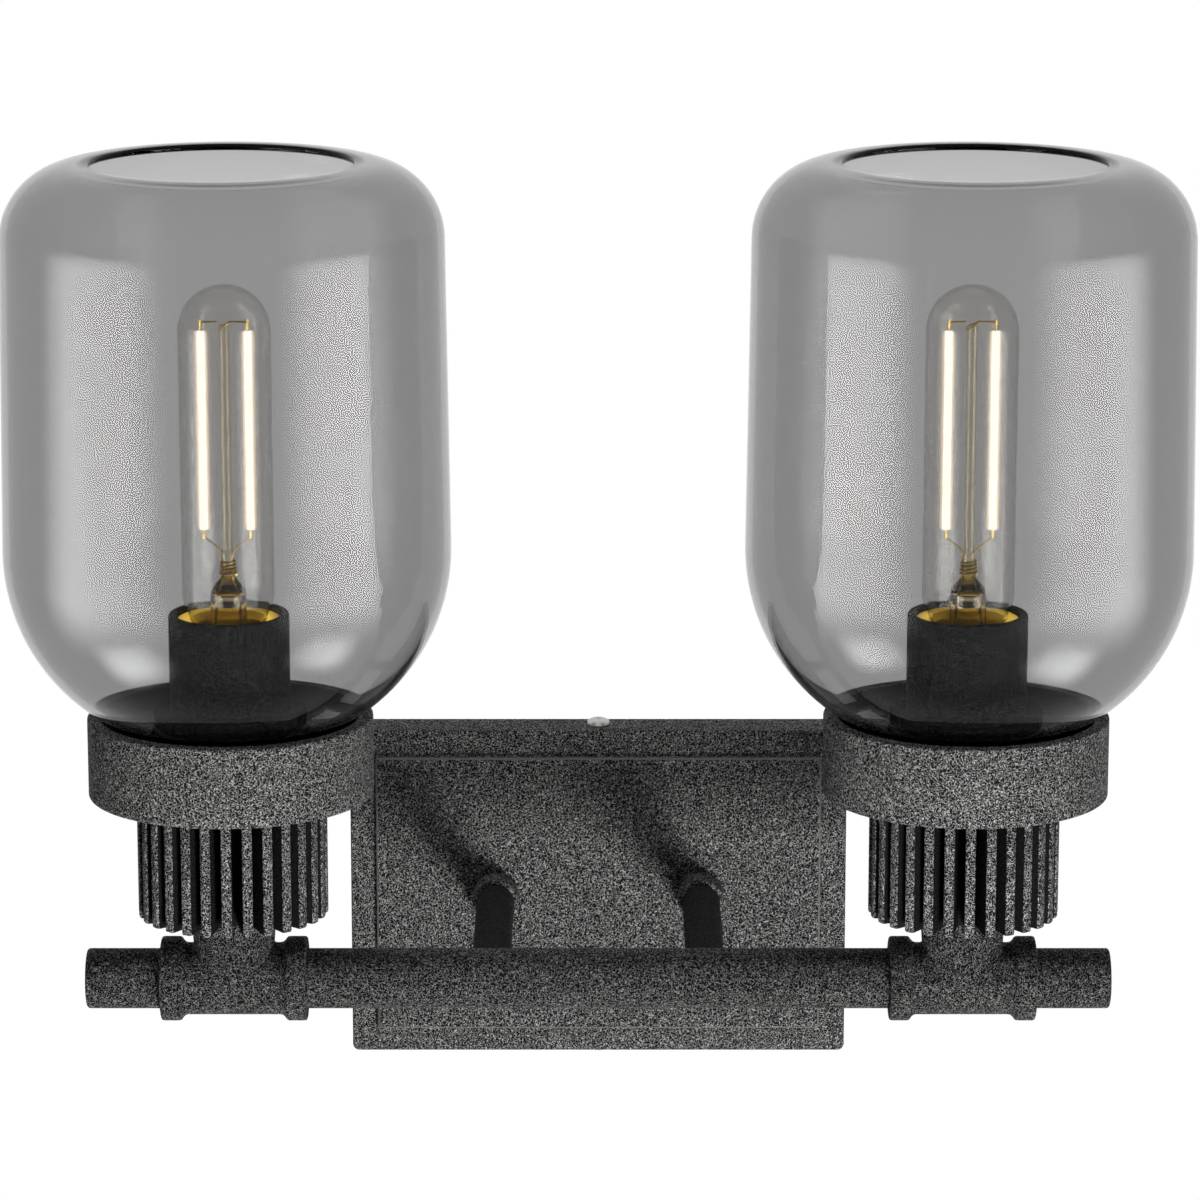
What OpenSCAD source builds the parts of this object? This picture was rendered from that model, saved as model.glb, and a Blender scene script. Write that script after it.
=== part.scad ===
// Two-light wall lamp made of iron pipe fittings, with finned lamp necks and smoked glass shades.
// Origin: middle of the back plate in the plane of the wall. +Z is up and the lamp stands out along -Y.
// All lengths are millimetres.

/* [Layout] */
// Distance between the two lamp axes
lamp_spacing = 254; // [236:1:300]
// Distance from the wall to the pipe axis
pipe_out = 125; // [105:1:160]
// Distance between the two arms
arm_spacing = 75.6; // [60:0.1:110]

/* [Back plate] */
// Width of the back plate
plate_w = 183; // [165:1:220]
// Height of the back plate
plate_h = 123; // [118:1:150]
// Depth of the back plate's rim from the wall
plate_depth = 18; // [16:1:30]
// Thickness of the back plate's metal
plate_wall = 2.2; // [1.6:0.1:2.8]
// Plain border around the raised panel
panel_border = 9.5; // [7:0.5:14]
// Height of the raised panel over the border
panel_raise = 3; // [1.5:0.5:5]
// Radius of the pressed edges
plate_edge_r = 1.2; // [0.6:0.1:1.5]
// Distance of the side screws from the wall
side_screw_out = 8; // [7:0.5:9]

/* [Wall bracket] */
// Width of the wall bracket
bracket_w = 26; // [22:1:34]
// Thickness of the wall bracket
bracket_t = 2; // [1.5:0.1:2.5]
// Distance between the two fixing slots of the wall bracket
box_spacing = 88.9; // [70:0.1:92]
// Width of a fixing slot
slot_w = 4.8; // [4:0.1:5.5]
// Straight length of a fixing slot
slot_run = 12; // [6:1:13]
// Diameter of the wire hole in the bracket
bracket_hole_d = 14; // [10:1:18]

/* [Arms] */
// Outer diameter of an arm
arm_d = 13.7; // [13:0.1:15]
// Wall of an arm
arm_wall = 2; // [1.5:0.1:2.4]
// Diameter of an arm's threaded end
arm_thread_d = 12; // [11.5:0.1:12.6]
// Outer diameter of the ferrule at the back plate
ferrule_d = 17; // [16.5:0.1:20]
// Length of the ferrule
ferrule_len = 12; // [8:1:20]

/* [Pipe and tees] */
// Outer diameter of the pipe
pipe_d = 21; // [20:0.1:21.6]
// Wall of the pipe
pipe_wall = 2.8; // [2:0.1:3.4]
// Length over the two closed pipe ends
pipe_len = 357; // [345:1:380]
// Length of a tee along the pipe
tee_run = 51; // [49:1:56]
// Diameter of a tee's body
tee_body_d = 25.2; // [24.8:0.1:27]
// Diameter of a tee's collars
tee_collar_d = 29.5; // [28.5:0.1:32]
// Width of a tee's collars
tee_collar_w = 7.3; // [5:0.1:9]
// Height of a tee's branch face over the pipe axis
tee_rise = 24.2; // [24:0.1:28]
// Diameter of a tee's branch
branch_d = 28; // [26.5:0.1:29]

/* [Finned neck] */
// Diameter over the fins
fin_d = 66; // [58:1:74]
// Diameter of the core between the fins
core_d = 34; // [31:1:42]
// Thickness of a fin at its outer face
fin_t = 3.6; // [2:0.1:4.5]
// Number of fins
fin_count = 28; // [16:2:32]
// Height of the finned neck
neck_h = 43.3; // [34:0.1:60]

/* [Cup] */
// Outer diameter of the cup
cup_d = 98.6; // [90:0.1:110]
// Height of the cup
cup_h = 27.8; // [24:0.1:29]
// Wall of the cup
cup_wall = 4.8; // [3:0.1:5.2]
// Thickness of the cup's floor
cup_floor_t = 4; // [3:0.1:6]
// Play between the cup's rim and the glass
rim_gap = 1.46; // [1:0.02:3]
// Thickness of the shade gasket
gasket_t = 1.5; // [1:0.1:2.5]

/* [Glass shade] */
// Widest diameter of the shade
shade_d = 153.4; // [150:0.1:158]
// Height of the shade
shade_h = 198.5; // [170:0.5:230]
// How much narrower the shade is at its shoulder than at its widest
shade_draft = 3; // [0:0.1:6]
// Radius of the rounded lower part
bowl_r = 68; // [66:0.5:70]
// Radius of the shoulder
shoulder_r = 26; // [15:0.5:30]
// Diameter of the mouth at the top
mouth_d = 89; // [70:1:94]
// Diameter of the hole in the bottom
shade_hole_d = 43; // [42.4:0.1:45]
// Diameter of the flat seat at the bottom
shade_seat_d = 54; // [51:0.5:58]
// Thickness of the glass
shade_t = 2.3; // [1.8:0.1:3]

/* [Lampholder] */
// Outer diameter of the sleeve
sleeve_d = 41.6; // [41:0.1:42]
// Wall of the sleeve
sleeve_wall = 2.9; // [2.4:0.1:3]
// Height of the sleeve
sleeve_h = 44.4; // [42:0.1:50]
// Height of the ring that holds the shade
ring_h = 6; // [4:0.5:9]
// Outer diameter of the ring that holds the shade
ring_d = 53; // [49:0.5:58]
// Diameter of the threaded nipple
nipple_d = 10; // [9:0.1:10.6]
// Wire bore of the nipple
nipple_bore_d = 7; // [5:0.1:7.6]
// Width of the nipple's nuts across their flats
nut_af = 13.5; // [13.2:0.1:14]
// Height of a nipple nut
nut_h = 4; // [3:0.1:5]

/* [Bulb] */
// Diameter of the bulb
bulb_d = 31.75; // [28:0.05:33]
// Length of the bulb with its cap
bulb_len = 143.5; // [120:0.5:160]
// Diameter of the bulb's cap
cap_d = 26.2; // [25.6:0.1:26.4]
// Height of the bulb's cap
cap_h = 23; // [20:0.5:25]
// Thickness of the bulb's glass
bulb_t = 0.9; // [0.7:0.1:1.2]
// Length of a filament
filament_len = 69; // [50:1:80]
// Diameter of a filament
filament_d = 2.2; // [1.4:0.1:3]
// Distance between the two filaments
filament_gap = 16; // [10:0.5:20]

/* [Hidden] */
$fn = 96;

// Fits: a thread pair, a loose piece on its seat, and the overrun of every cut
thread_gap = 0.1;
slip_gap = 0.3;
seat_gap = 0.2;
weld_gap = 0.05;
cut = 1;
edge_r = 0.8;

// Back plate
panel_w = plate_w - 2 * panel_border;
panel_h = plate_h - 2 * panel_border;
plate_front = plate_depth + panel_raise;
corner_r = 2 * plate_edge_r;

// Wall bracket, with ears that take the side screws
ear_z = plate_h / 2 - plate_wall - slip_gap;
ear_margin = 4.5;
ear_out = side_screw_out + ear_margin;
side_screw_d = 4;
side_screw_len = 9;
side_head_d = 8.6;
side_head_h = 2.4;
side_cross = 4.3;
side_cross_w = 1.1;
ground_d = 4;
ground_head_d = 8;
ground_head_h = 2.6;
ground_slot_w = 1;
ground_share = 0.48;

// Arms
arm_bore_d = arm_thread_d - 2 * arm_wall;
arm_nut_af = 17;
arm_nut_h = 4;
thread_end = 2;
arm_thread_len = plate_wall + arm_nut_h + thread_end;

// Pipe and tees
pipe_r = pipe_d / 2;
thread_len = 12;
pipe_end_r = 1;
branch_flare = 1;
branch_cone_z = tee_rise / 2;
lamp_x = lamp_spacing / 2;
bore_r = pipe_r - pipe_wall;

// Finned neck
neck_z = tee_rise;
cup_z = neck_z + neck_h;
register_d = 40;
neck_cap_t = 7.5;
neck_bore_d = 17;
fin_a = asin(fin_t / fin_d);
fin_root_share = 0.5;

// Shade, measured from the bowl's centre: down to its flat seat, and down to where the cup's rim clears it
shade_r = shade_d / 2;
neck_in = shade_r - bowl_r;
cup_r = cup_d / 2;
seat_drop = sqrt(pow(bowl_r, 2) - pow(shade_seat_d / 2 - neck_in, 2));
rim_drop = sqrt(pow(bowl_r, 2) - pow(cup_r - cup_wall - rim_gap - neck_in, 2));

// Cup: its seat is as high as brings the glass clear of the rim
seat_h = cup_h - (seat_drop - rim_drop) - gasket_t - seat_gap;
seat_floor_t = 4;
register_top = seat_h - seat_floor_t;
sleeve_z = cup_z + seat_h;
seat_rim = 1.5;
shade_z = sleeve_z + gasket_t + seat_gap;
bowl_z = shade_z + seat_drop;
shoulder_z = shade_z + shade_h - shoulder_r;
shoulder_x = shade_r - shade_draft / 2;

// Lampholder
sleeve_r = sleeve_d / 2;
sleeve_floor_t = 2.5;
nipple_z = cup_z - neck_cap_t - nut_h - thread_end;
holder_z = sleeve_z + sleeve_floor_t + nut_h + seat_gap;
holder_floor_t = 5;
holder_r = sleeve_r - sleeve_wall - slip_gap;
holder_drop = 2.4;
holder_top = sleeve_z + sleeve_h - holder_drop;
nipple_into_holder = 3.5;
nipple_top = holder_z + nipple_into_holder;
shell_t = 0.4;
cap_gap = 0.45;
shell_r = cap_d / 2 + cap_gap + shell_t;
shell_z = holder_z + holder_floor_t;
contact_h = 3;
leaf_len = 10;
leaf_w = 5;
leaf_bend = 2.5;
leaf_tip = 2.5;
bulb_z = shell_z + contact_h + slip_gap;

// Bulb
bulb_r = bulb_d / 2;
bulb_top = bulb_z + bulb_len;
tip_h = 2;
cap_z = bulb_z + tip_h;
cap_t = 0.4;
bulb_neck_r = cap_d / 2 - cap_t - seat_gap;
neck_lift = 6;
bulb_neck_z = cap_z + neck_lift;
flare_h = 9;
filament_top = bulb_top - bulb_r;
filament_z = filament_top - filament_len;
wire_d = 0.8;
stem_d = 4.4;
bell_d = 12.6;
bell_rise = 3;
bell_top = sleeve_z + sleeve_h + bell_rise;
wire_drop = 8;
stem_top = filament_z - wire_drop;
rod_d = 3.4;

// Places its children on the axis of a lamp: side is -1 on the left and 1 on the right
module at_lamp(side) {
    translate([side * lamp_x, -pipe_out, 0]) children();
}

// A rectangle in the middle of the plane with round corners
module round_rect(w, h, r) {
    square([w - 2 * r, h], center = true);
    square([w, h - 2 * r], center = true);
    for (sx = [-1, 1], sy = [-1, 1])
        translate([sx * (w / 2 - r), sy * (h / 2 - r)]) circle(r);
}

// A pressed tray from the wall plane to y = -depth, with round front edges and corners
module tray(w, h, depth, edge) {
    intersection() {
        rotate([90, 0, 0]) linear_extrude(depth) round_rect(w, h, corner_r);
        translate([0, 0, -h / 2]) linear_extrude(h) tray_edge(w, depth, edge);
        translate([-w / 2, 0, 0]) rotate([90, 0, 90]) linear_extrude(w)
            rotate(-90) tray_edge(h, depth, edge);
    }
}

// Cross-section of a tray: front edges rounded, open towards the wall
module tray_edge(w, depth, edge) {
    translate([-w / 2 + edge, -depth]) square([w - 2 * edge, depth]);
    translate([-w / 2, -depth + edge]) square([w, depth - edge]);
    for (s = [-1, 1])
        translate([s * (w / 2 - edge), -depth + edge]) circle(edge);
}

// A round bar or hole along Y, from the y nearest the wall outwards
module bar_y(x, y, z, d, len) {
    translate([x, y, z]) rotate([90, 0, 0]) cylinder(d = d, h = len);
}

// A hexagonal nut with its bore, standing on z = 0
module hex_nut(af, h, bore) {
    difference() {
        cylinder(d = af / cos(30), h = h, $fn = 6);
        translate([0, 0, -cut]) cylinder(d = bore, h = h + 2 * cut);
    }
}

// A hollow cylinder on z = 0
module tube(r_out, r_in, h) {
    difference() {
        cylinder(r = r_out, h = h);
        translate([0, 0, -cut]) cylinder(r = r_in, h = h + 2 * cut);
    }
}

// A cylinder whose lower and upper edges are rounded, as a 2D half section
module soft_half(r, h, edge) {
    square([r - edge, h]);
    translate([0, edge]) square([r, h - 2 * edge]);
    for (z = [edge, h - edge])
        translate([r - edge, z]) circle(edge);
}

// Pressed steel back plate: a shallow tray with a raised panel
module canopy() {
    color("#4a4a4b") difference() {
        union() {
            tray(plate_w, plate_h, plate_depth, plate_edge_r);
            tray(panel_w, panel_h, plate_front, plate_edge_r);
        }
        translate([0, cut, 0]) {
            tray(plate_w - 2 * plate_wall, plate_h - 2 * plate_wall,
                plate_depth - plate_wall + cut, plate_edge_r);
            tray(panel_w - 2 * plate_wall, panel_h - 2 * plate_wall,
                plate_front - plate_wall + cut, plate_edge_r);
        }
        for (s = [-1, 1]) {
            bar_y(s * arm_spacing / 2, -plate_front + plate_wall + cut, 0,
                arm_thread_d + 2 * thread_gap, plate_wall + 2 * cut);
            translate([0, -side_screw_out, s * (plate_h / 2 - plate_wall / 2)])
                cylinder(d = side_screw_d + slip_gap, h = plate_wall + 2 * cut, center = true);
        }
    }
}

// Steel strip that is screwed to the wall box, with an ear bent up at each end
module wall_bracket() {
    color("#b9bcbf") difference() {
        union() {
            translate([-bracket_w / 2, -bracket_t, -ear_z])
                cube([bracket_w, bracket_t, 2 * ear_z]);
            for (s = [0, 1]) mirror([0, 0, s])
                translate([-bracket_w / 2, -ear_out, ear_z - bracket_t])
                    cube([bracket_w, ear_out, bracket_t]);
        }
        for (s = [-1, 1]) {
            translate([0, 0, s * box_spacing / 2]) {
                for (e = [-1, 1])
                    bar_y(0, cut, e * slot_run / 2, slot_w, bracket_t + 2 * cut);
                translate([-slot_w / 2, -bracket_t - cut, -slot_run / 2])
                    cube([slot_w, bracket_t + 2 * cut, slot_run]);
            }
            translate([0, -side_screw_out, s * (ear_z - bracket_t / 2)])
                cylinder(d = side_screw_d + 2 * thread_gap, h = bracket_t + 2 * cut, center = true);
        }
        bar_y(0, cut, 0, bracket_hole_d, bracket_t + 2 * cut);
        bar_y(0, cut, ground_share * box_spacing / 2 + bracket_hole_d / 2 - ground_d,
            ground_d + 2 * thread_gap, bracket_t + 2 * cut);
    }
}

// The two screws in the top and bottom edges of the back plate, with cross recesses
module canopy_screws() {
    color("#c4c6c8") for (s = [0, 1]) mirror([0, 0, s])
        translate([0, -side_screw_out, plate_h / 2]) difference() {
            union() {
                rotate_extrude() intersection() {
                    translate([0, side_head_h - side_head_d])
                        circle(side_head_d);
                    square([side_head_d / 2, side_head_h]);
                }
                translate([0, 0, -side_screw_len])
                    cylinder(d = side_screw_d, h = side_screw_len + side_head_h / 2);
            }
            for (a = [0, 90]) rotate(a)
                translate([-side_cross / 2, -side_cross_w / 2, side_head_h / 2])
                    cube([side_cross, side_cross_w, side_head_h]);
        }
}

// Earth screw in the wall bracket
module ground_screw() {
    color("#4f8f52") translate([0, -bracket_t, ground_share * box_spacing / 2
            + bracket_hole_d / 2 - ground_d]) rotate([90, 0, 0]) difference() {
        union() {
            cylinder(d = ground_head_d / cos(30), h = ground_head_h, $fn = 6);
            translate([0, 0, -bracket_t]) cylinder(d = ground_d, h = bracket_t + ground_head_h / 2);
        }
        translate([-ground_head_d, -ground_slot_w / 2, ground_head_h / 2])
            cube([2 * ground_head_d, ground_slot_w, ground_head_h]);
    }
}

// Arm: a tube with a threaded end in the plate and a mouth cut to the pipe
module arm(side) {
    color("#4a4a4b") difference() {
        union() {
            bar_y(side * arm_spacing / 2, -plate_front, 0, arm_d, pipe_out - plate_front);
            bar_y(side * arm_spacing / 2, -plate_front + arm_thread_len, 0,
                arm_thread_d, arm_thread_len + cut);
        }
        bar_y(side * arm_spacing / 2, -plate_front + arm_thread_len + cut, 0,
            arm_bore_d, pipe_out);
        translate([side * arm_spacing / 2, -pipe_out, 0]) rotate([0, 90, 0])
            cylinder(r = pipe_r + weld_gap, h = 2 * arm_d, center = true);
    }
}

// Turned ferrule that covers the hole in the back plate
module arm_ferrule(side) {
    color("#424243") translate([side * arm_spacing / 2, -plate_front, 0]) rotate([90, 0, 0])
        rotate_extrude() difference() {
            soft_half(ferrule_d / 2, ferrule_len, edge_r);
            translate([0, -cut]) square([arm_d / 2 + thread_gap, ferrule_len + 2 * cut]);
        }
}

// Nut behind the back plate that holds the arm
module arm_nut(side) {
    color("#b9bcbf") translate([side * arm_spacing / 2, -plate_front + plate_wall, 0])
        rotate([-90, 0, 0]) hex_nut(arm_nut_af, arm_nut_h, arm_thread_d + 2 * thread_gap);
}

// Pipe between the two tees, with a wire hole behind at each arm
module centre_pipe() {
    half = lamp_x - tee_run / 2 + thread_len;
    color("#4a4a4b") difference() {
        translate([-half, -pipe_out, 0]) rotate([0, 90, 0]) tube(pipe_r, bore_r, 2 * half);
        for (s = [-1, 1])
            bar_y(s * arm_spacing / 2, -pipe_out + pipe_d, 0, arm_bore_d, pipe_d);
    }
}

// Short closed pipe outside a tee
module end_pipe(side) {
    inner = lamp_x + tee_run / 2 - thread_len;
    stub = pipe_len / 2 - inner;
    color("#4a4a4b") translate([side * inner, -pipe_out, 0]) rotate([0, side * 90, 0])
        rotate_extrude() difference() {
            union() {
                square([pipe_r, stub - pipe_end_r]);
                square([pipe_r - pipe_end_r, stub]);
                translate([pipe_r - pipe_end_r, stub - pipe_end_r]) circle(pipe_end_r);
            }
            translate([0, -cut]) square([bore_r, stub - pipe_wall + cut]);
        }
}

// Half section of one end of a tee's run: a body, a collar at the mouth and a cove between the two
module run_half() {
    step = (tee_collar_d - tee_body_d) / 2;
    back = tee_run / 2 - tee_collar_w;
    square([tee_body_d / 2, tee_run / 2]);
    translate([0, back]) soft_half(tee_collar_d / 2, tee_collar_w, edge_r);
    difference() {
        translate([0, back - step]) square([tee_collar_d / 2 - edge_r, step + edge_r]);
        translate([tee_collar_d / 2, back - step]) circle(step);
    }
}

// Cast tee: the run lies along the pipe and the branch stands up
module tee(side) {
    color("#4a4a4b") at_lamp(side) difference() {
        union() {
            for (s = [-1, 1]) rotate([0, s * 90, 0]) rotate_extrude() run_half();
            cylinder(d = branch_d, h = tee_rise);
            rotate_extrude() polygon([[0, branch_cone_z], [branch_d / 2, branch_cone_z],
                [branch_d / 2 + branch_flare, tee_rise], [0, tee_rise]]);
        }
        rotate([0, 90, 0]) {
            cylinder(r = bore_r, h = tee_run + 2 * cut, center = true);
            for (s = [0, 1]) mirror([0, 0, s])
                translate([0, 0, tee_run / 2 - thread_len])
                    cylinder(r = pipe_r + thread_gap, h = thread_len + cut);
        }
        cylinder(r = bore_r, h = tee_rise + cut);
        translate([0, 0, tee_rise - thread_len])
            cylinder(r = pipe_r + thread_gap, h = thread_len + cut);
    }
}

// Section through the fins: wedges that stand on a round core
module fin_section() {
    circle(d = core_d);
    intersection() {
        circle(d = fin_d);
        for (i = [0:fin_count - 1]) rotate(i * 360 / fin_count - 90)
            polygon([for (r = [fin_root_share * core_d / 2, fin_d], s = [-1, 1])
                [r * cos(fin_a), (r == fin_d ? s : -s) * r * sin(fin_a)]]);
    }
}

// Cast neck with upright cooling fins, threaded into the tee and registering in the cup
module neck(side) {
    color("#4a4a4b") at_lamp(side) difference() {
        union() {
            translate([0, 0, neck_z]) intersection() {
                linear_extrude(neck_h) fin_section();
                rotate_extrude() soft_half(fin_d / 2 + thread_gap, neck_h, edge_r);
            }
            translate([0, 0, neck_z - thread_len + seat_gap])
                cylinder(r = pipe_r, h = thread_len);
            translate([0, 0, cup_z - cut])
                cylinder(d = register_d, h = register_top - seat_gap + cut);
        }
        translate([0, 0, neck_z - thread_len - cut])
            cylinder(d = neck_bore_d, h = neck_h + thread_len - neck_cap_t + cut);
        translate([0, 0, neck_z]) cylinder(d = nipple_d + 2 * thread_gap, h = 2 * neck_h);
    }
}

// Turned cup: a straight wall, a floor and the raised seat that carries the shade
module cup(side) {
    color("#3e3e3f") at_lamp(side) translate([0, 0, cup_z]) rotate_extrude() difference() {
        soft_half(cup_r, cup_h, edge_r);
        difference() {
            translate([0, cup_floor_t]) square([cup_r - cup_wall, cup_h]);
            square([shade_seat_d / 2 + seat_rim, seat_h]);
        }
        translate([0, -cut]) square([register_d / 2 + thread_gap, register_top + cut]);
        translate([0, -cut]) square([nipple_d / 2 + thread_gap, cup_h]);
    }
}

// Silicone washer between the seat and the glass
module gasket(side) {
    color("#8f8f8c") at_lamp(side) translate([0, 0, sleeve_z])
        tube(shade_seat_d / 2, sleeve_r + slip_gap, gasket_t);
}

// Black sleeve around the lampholder
module sleeve(side) {
    color("#1c1c1d") at_lamp(side) translate([0, 0, sleeve_z]) rotate_extrude() difference() {
        soft_half(sleeve_r, sleeve_h, edge_r);
        translate([0, sleeve_floor_t]) square([sleeve_r - sleeve_wall, sleeve_h]);
        translate([0, -cut]) square([nipple_d / 2 + thread_gap, sleeve_h]);
    }
}

// Threaded tube that clamps neck, cup and sleeve together and carries the wires
module nipple(side) {
    color("#b9bcbf") at_lamp(side) translate([0, 0, nipple_z])
        tube(nipple_d / 2, nipple_bore_d / 2, nipple_top - nipple_z);
}

// The nuts on the nipple: one inside the neck, one on the floor of the sleeve
module nipple_nuts(side) {
    color("#b9bcbf") at_lamp(side)
        for (z = [cup_z - neck_cap_t - nut_h, sleeve_z + sleeve_floor_t])
            translate([0, 0, z]) hex_nut(nut_af, nut_h, nipple_d + 2 * thread_gap);
}

// Insulating body of the lampholder
module lampholder(side) {
    color("#e9e6de") at_lamp(side) translate([0, 0, holder_z]) difference() {
        cylinder(r = holder_r, h = holder_top - holder_z);
        translate([0, 0, holder_floor_t]) cylinder(r = shell_r + thread_gap, h = sleeve_h);
        translate([0, 0, -cut]) cylinder(r = nipple_bore_d / 2, h = sleeve_h);
        translate([0, 0, -cut])
            cylinder(r = nipple_d / 2 + thread_gap, h = nipple_top - holder_z + cut + seat_gap);
    }
}

// Brass shell that takes the cap of the bulb
module screw_shell(side) {
    color("#c9a24a") at_lamp(side) translate([0, 0, shell_z]) difference() {
        union() {
            cylinder(r = shell_r, h = holder_top - shell_z + shell_t);
            translate([0, 0, holder_top - shell_z]) cylinder(r = holder_r, h = shell_t);
        }
        translate([0, 0, shell_t]) cylinder(r = shell_r - shell_t, h = sleeve_h);
        translate([0, 0, -cut]) cylinder(r = shell_r / 2, h = sleeve_h);
    }
}

// Centre contact: a button on a riveted spring leaf
module contact(side) {
    color("#c9a24a") at_lamp(side) translate([0, 0, shell_z]) {
        translate([-leaf_len / 2, leaf_w / 2, 0]) rotate([90, 0, 0]) linear_extrude(leaf_w)
            polygon([[0, 0], [leaf_len, 0], [leaf_len, shell_t],
                [leaf_len - leaf_bend, contact_h - shell_t], [leaf_tip, contact_h - shell_t],
                [leaf_tip, contact_h - 2 * shell_t],
                [leaf_len - leaf_bend - shell_t, contact_h - 2 * shell_t],
                [leaf_len - 2 * shell_t, shell_t], [0, shell_t]]);
        cylinder(d = leaf_w - shell_t, h = contact_h);
    }
}

// Outline of the shade in half section, moved inwards by t
module shade_half(t) {
    translate([neck_in, bowl_z]) intersection() {
        circle(bowl_r - t);
        translate([-neck_in, -bowl_r]) square([bowl_r + neck_in, bowl_r]);
    }
    polygon([[0, bowl_z], [shade_r - t, bowl_z], [shoulder_x - t, shoulder_z], [0, shoulder_z]]);
    translate([0, shoulder_z]) square([shoulder_x - shoulder_r, shoulder_r - t]);
    translate([shoulder_x - shoulder_r, shoulder_z]) intersection() {
        circle(shoulder_r - t);
        square(shoulder_r);
    }
}

// Blown glass shade, open at the top, with a flat seat and a hole for the sleeve below
module shade(side) {
    color("#55565899") at_lamp(side) rotate_extrude($fn = 160) difference() {
        intersection() {
            shade_half(0);
            translate([shade_hole_d / 2, shade_z]) square([shade_r, shade_h]);
        }
        intersection() {
            shade_half(shade_t);
            translate([0, shade_z + shade_t]) square([shade_r, shade_h]);
        }
        translate([0, shade_z + shade_h / 2]) square([mouth_d / 2, shade_h]);
    }
}

// Ring that is screwed down the sleeve onto the glass, with finger notches
module shade_ring(side) {
    notch_count = 12;
    color("#2a2a2b") at_lamp(side)
        translate([0, 0, shade_z + shade_t + seat_gap]) difference() {
            rotate_extrude() difference() {
                soft_half(ring_d / 2, ring_h, edge_r);
                translate([0, -cut]) square([sleeve_r + slip_gap, ring_h + 2 * cut]);
            }
            for (i = [0:notch_count - 1]) rotate(i * 360 / notch_count)
                translate([ring_d / 2 + edge_r, 0, -cut])
                    cylinder(r = 2 * edge_r, h = ring_h + 2 * cut, $fn = 24);
        }
}

// Outline of the bulb's glass in half section, moved inwards by t
module bulb_half(t) {
    straight_z = cap_z + cap_h + flare_h;
    translate([0, bulb_neck_z]) square([bulb_neck_r - t, cap_z + cap_h - bulb_neck_z + t]);
    polygon([[0, cap_z + cap_h + t / 2], [bulb_neck_r - t, cap_z + cap_h + t / 2],
        [bulb_r - t, straight_z], [0, straight_z]]);
    translate([0, straight_z]) square([bulb_r - t, bulb_top - bulb_r - straight_z]);
    translate([0, bulb_top - bulb_r]) intersection() {
        circle(bulb_r - t);
        square(bulb_r);
    }
}

// Clear tubular glass of the bulb; its neck stands inside the cap
module bulb_glass(side) {
    color("#e8e4da55") at_lamp(side) rotate_extrude() difference() {
        bulb_half(0);
        bulb_half(bulb_t);
        translate([0, bulb_neck_z - cut]) square([bulb_neck_r - bulb_t, 2 * cut]);
    }
}

// Brass cap of the bulb with its insulator and contact tip
module bulb_cap(side) {
    color("#c9a24a") at_lamp(side) rotate_extrude() difference() {
        union() {
            translate([0, cap_z]) square([cap_d / 2, cap_h]);
            polygon([[0, bulb_z], [cap_d / 6, bulb_z], [cap_d / 3, cap_z], [0, cap_z]]);
        }
        translate([0, cap_z + cap_t]) square([cap_d / 2 - cap_t, cap_h]);
    }
}

// Glass stem with the rod that carries the filaments' upper ends
module bulb_stem(side) {
    foot_r = bulb_neck_r - bulb_t - slip_gap;
    color("#dfe3e0") at_lamp(side) rotate_extrude() {
        translate([0, bulb_neck_z]) square([foot_r, bulb_t]);
        translate([0, bulb_neck_z]) square([bell_d / 2, bell_top - bulb_neck_z]);
        translate([0, bell_top]) intersection() {
            circle(d = bell_d);
            square(bell_d);
        }
        translate([0, bell_top]) square([stem_d / 2, stem_top - bell_top]);
        translate([0, bell_top]) square([rod_d / 2, filament_top + filament_d - bell_top]);
    }
}

// Two upright filaments, joined to the rod by a wire above and to the stem by slanting wires below
module filaments(side) {
    wire_run = filament_gap / 2 - rod_d / 2 - weld_gap;
    color("#ffe3a8") at_lamp(side) for (s = [0, 1]) mirror([s, 0, 0]) {
        translate([filament_gap / 2, 0, filament_z])
            cylinder(d = filament_d, h = filament_len);
        translate([filament_gap / 2, 0, filament_top])
            cylinder(d = wire_d, h = 2 * wire_d);
        translate([filament_gap / 2 - wire_run, -wire_d / 2, filament_top + wire_d])
            cube([wire_run, wire_d, wire_d]);
        translate([stem_d / 2 + weld_gap, wire_d / 2, 0]) rotate([90, 0, 0]) linear_extrude(wire_d)
            polygon([[0, stem_top - wire_d], [0, stem_top], [filament_gap / 2 - stem_d / 2, filament_z],
                [filament_gap / 2 - stem_d / 2 + wire_d, filament_z],
                [filament_gap / 2 - stem_d / 2 + wire_d, filament_z - wire_d]]);
    }
}

canopy();
wall_bracket();
canopy_screws();
ground_screw();
arm(-1);  // arm_left
arm(1);  // arm_right
arm_ferrule(-1);  // arm_ferrule_left
arm_ferrule(1);  // arm_ferrule_right
arm_nut(-1);  // arm_nut_left
arm_nut(1);  // arm_nut_right
centre_pipe();
end_pipe(-1);  // end_pipe_left
end_pipe(1);  // end_pipe_right
tee(-1);  // tee_left
tee(1);  // tee_right
neck(-1);  // neck_left
neck(1);  // neck_right
cup(-1);  // cup_left
cup(1);  // cup_right
gasket(-1);  // gasket_left
gasket(1);  // gasket_right
sleeve(-1);  // sleeve_left
sleeve(1);  // sleeve_right
nipple(-1);  // nipple_left
nipple(1);  // nipple_right
nipple_nuts(-1);  // nipple_nuts_left
nipple_nuts(1);  // nipple_nuts_right
lampholder(-1);  // lampholder_left
lampholder(1);  // lampholder_right
screw_shell(-1);  // screw_shell_left
screw_shell(1);  // screw_shell_right
contact(-1);  // contact_left
contact(1);  // contact_right
shade(-1);  // shade_left
shade(1);  // shade_right
shade_ring(-1);  // shade_ring_left
shade_ring(1);  // shade_ring_right
bulb_glass(-1);  // bulb_glass_left
bulb_glass(1);  // bulb_glass_right
bulb_cap(-1);  // bulb_cap_left
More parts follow.
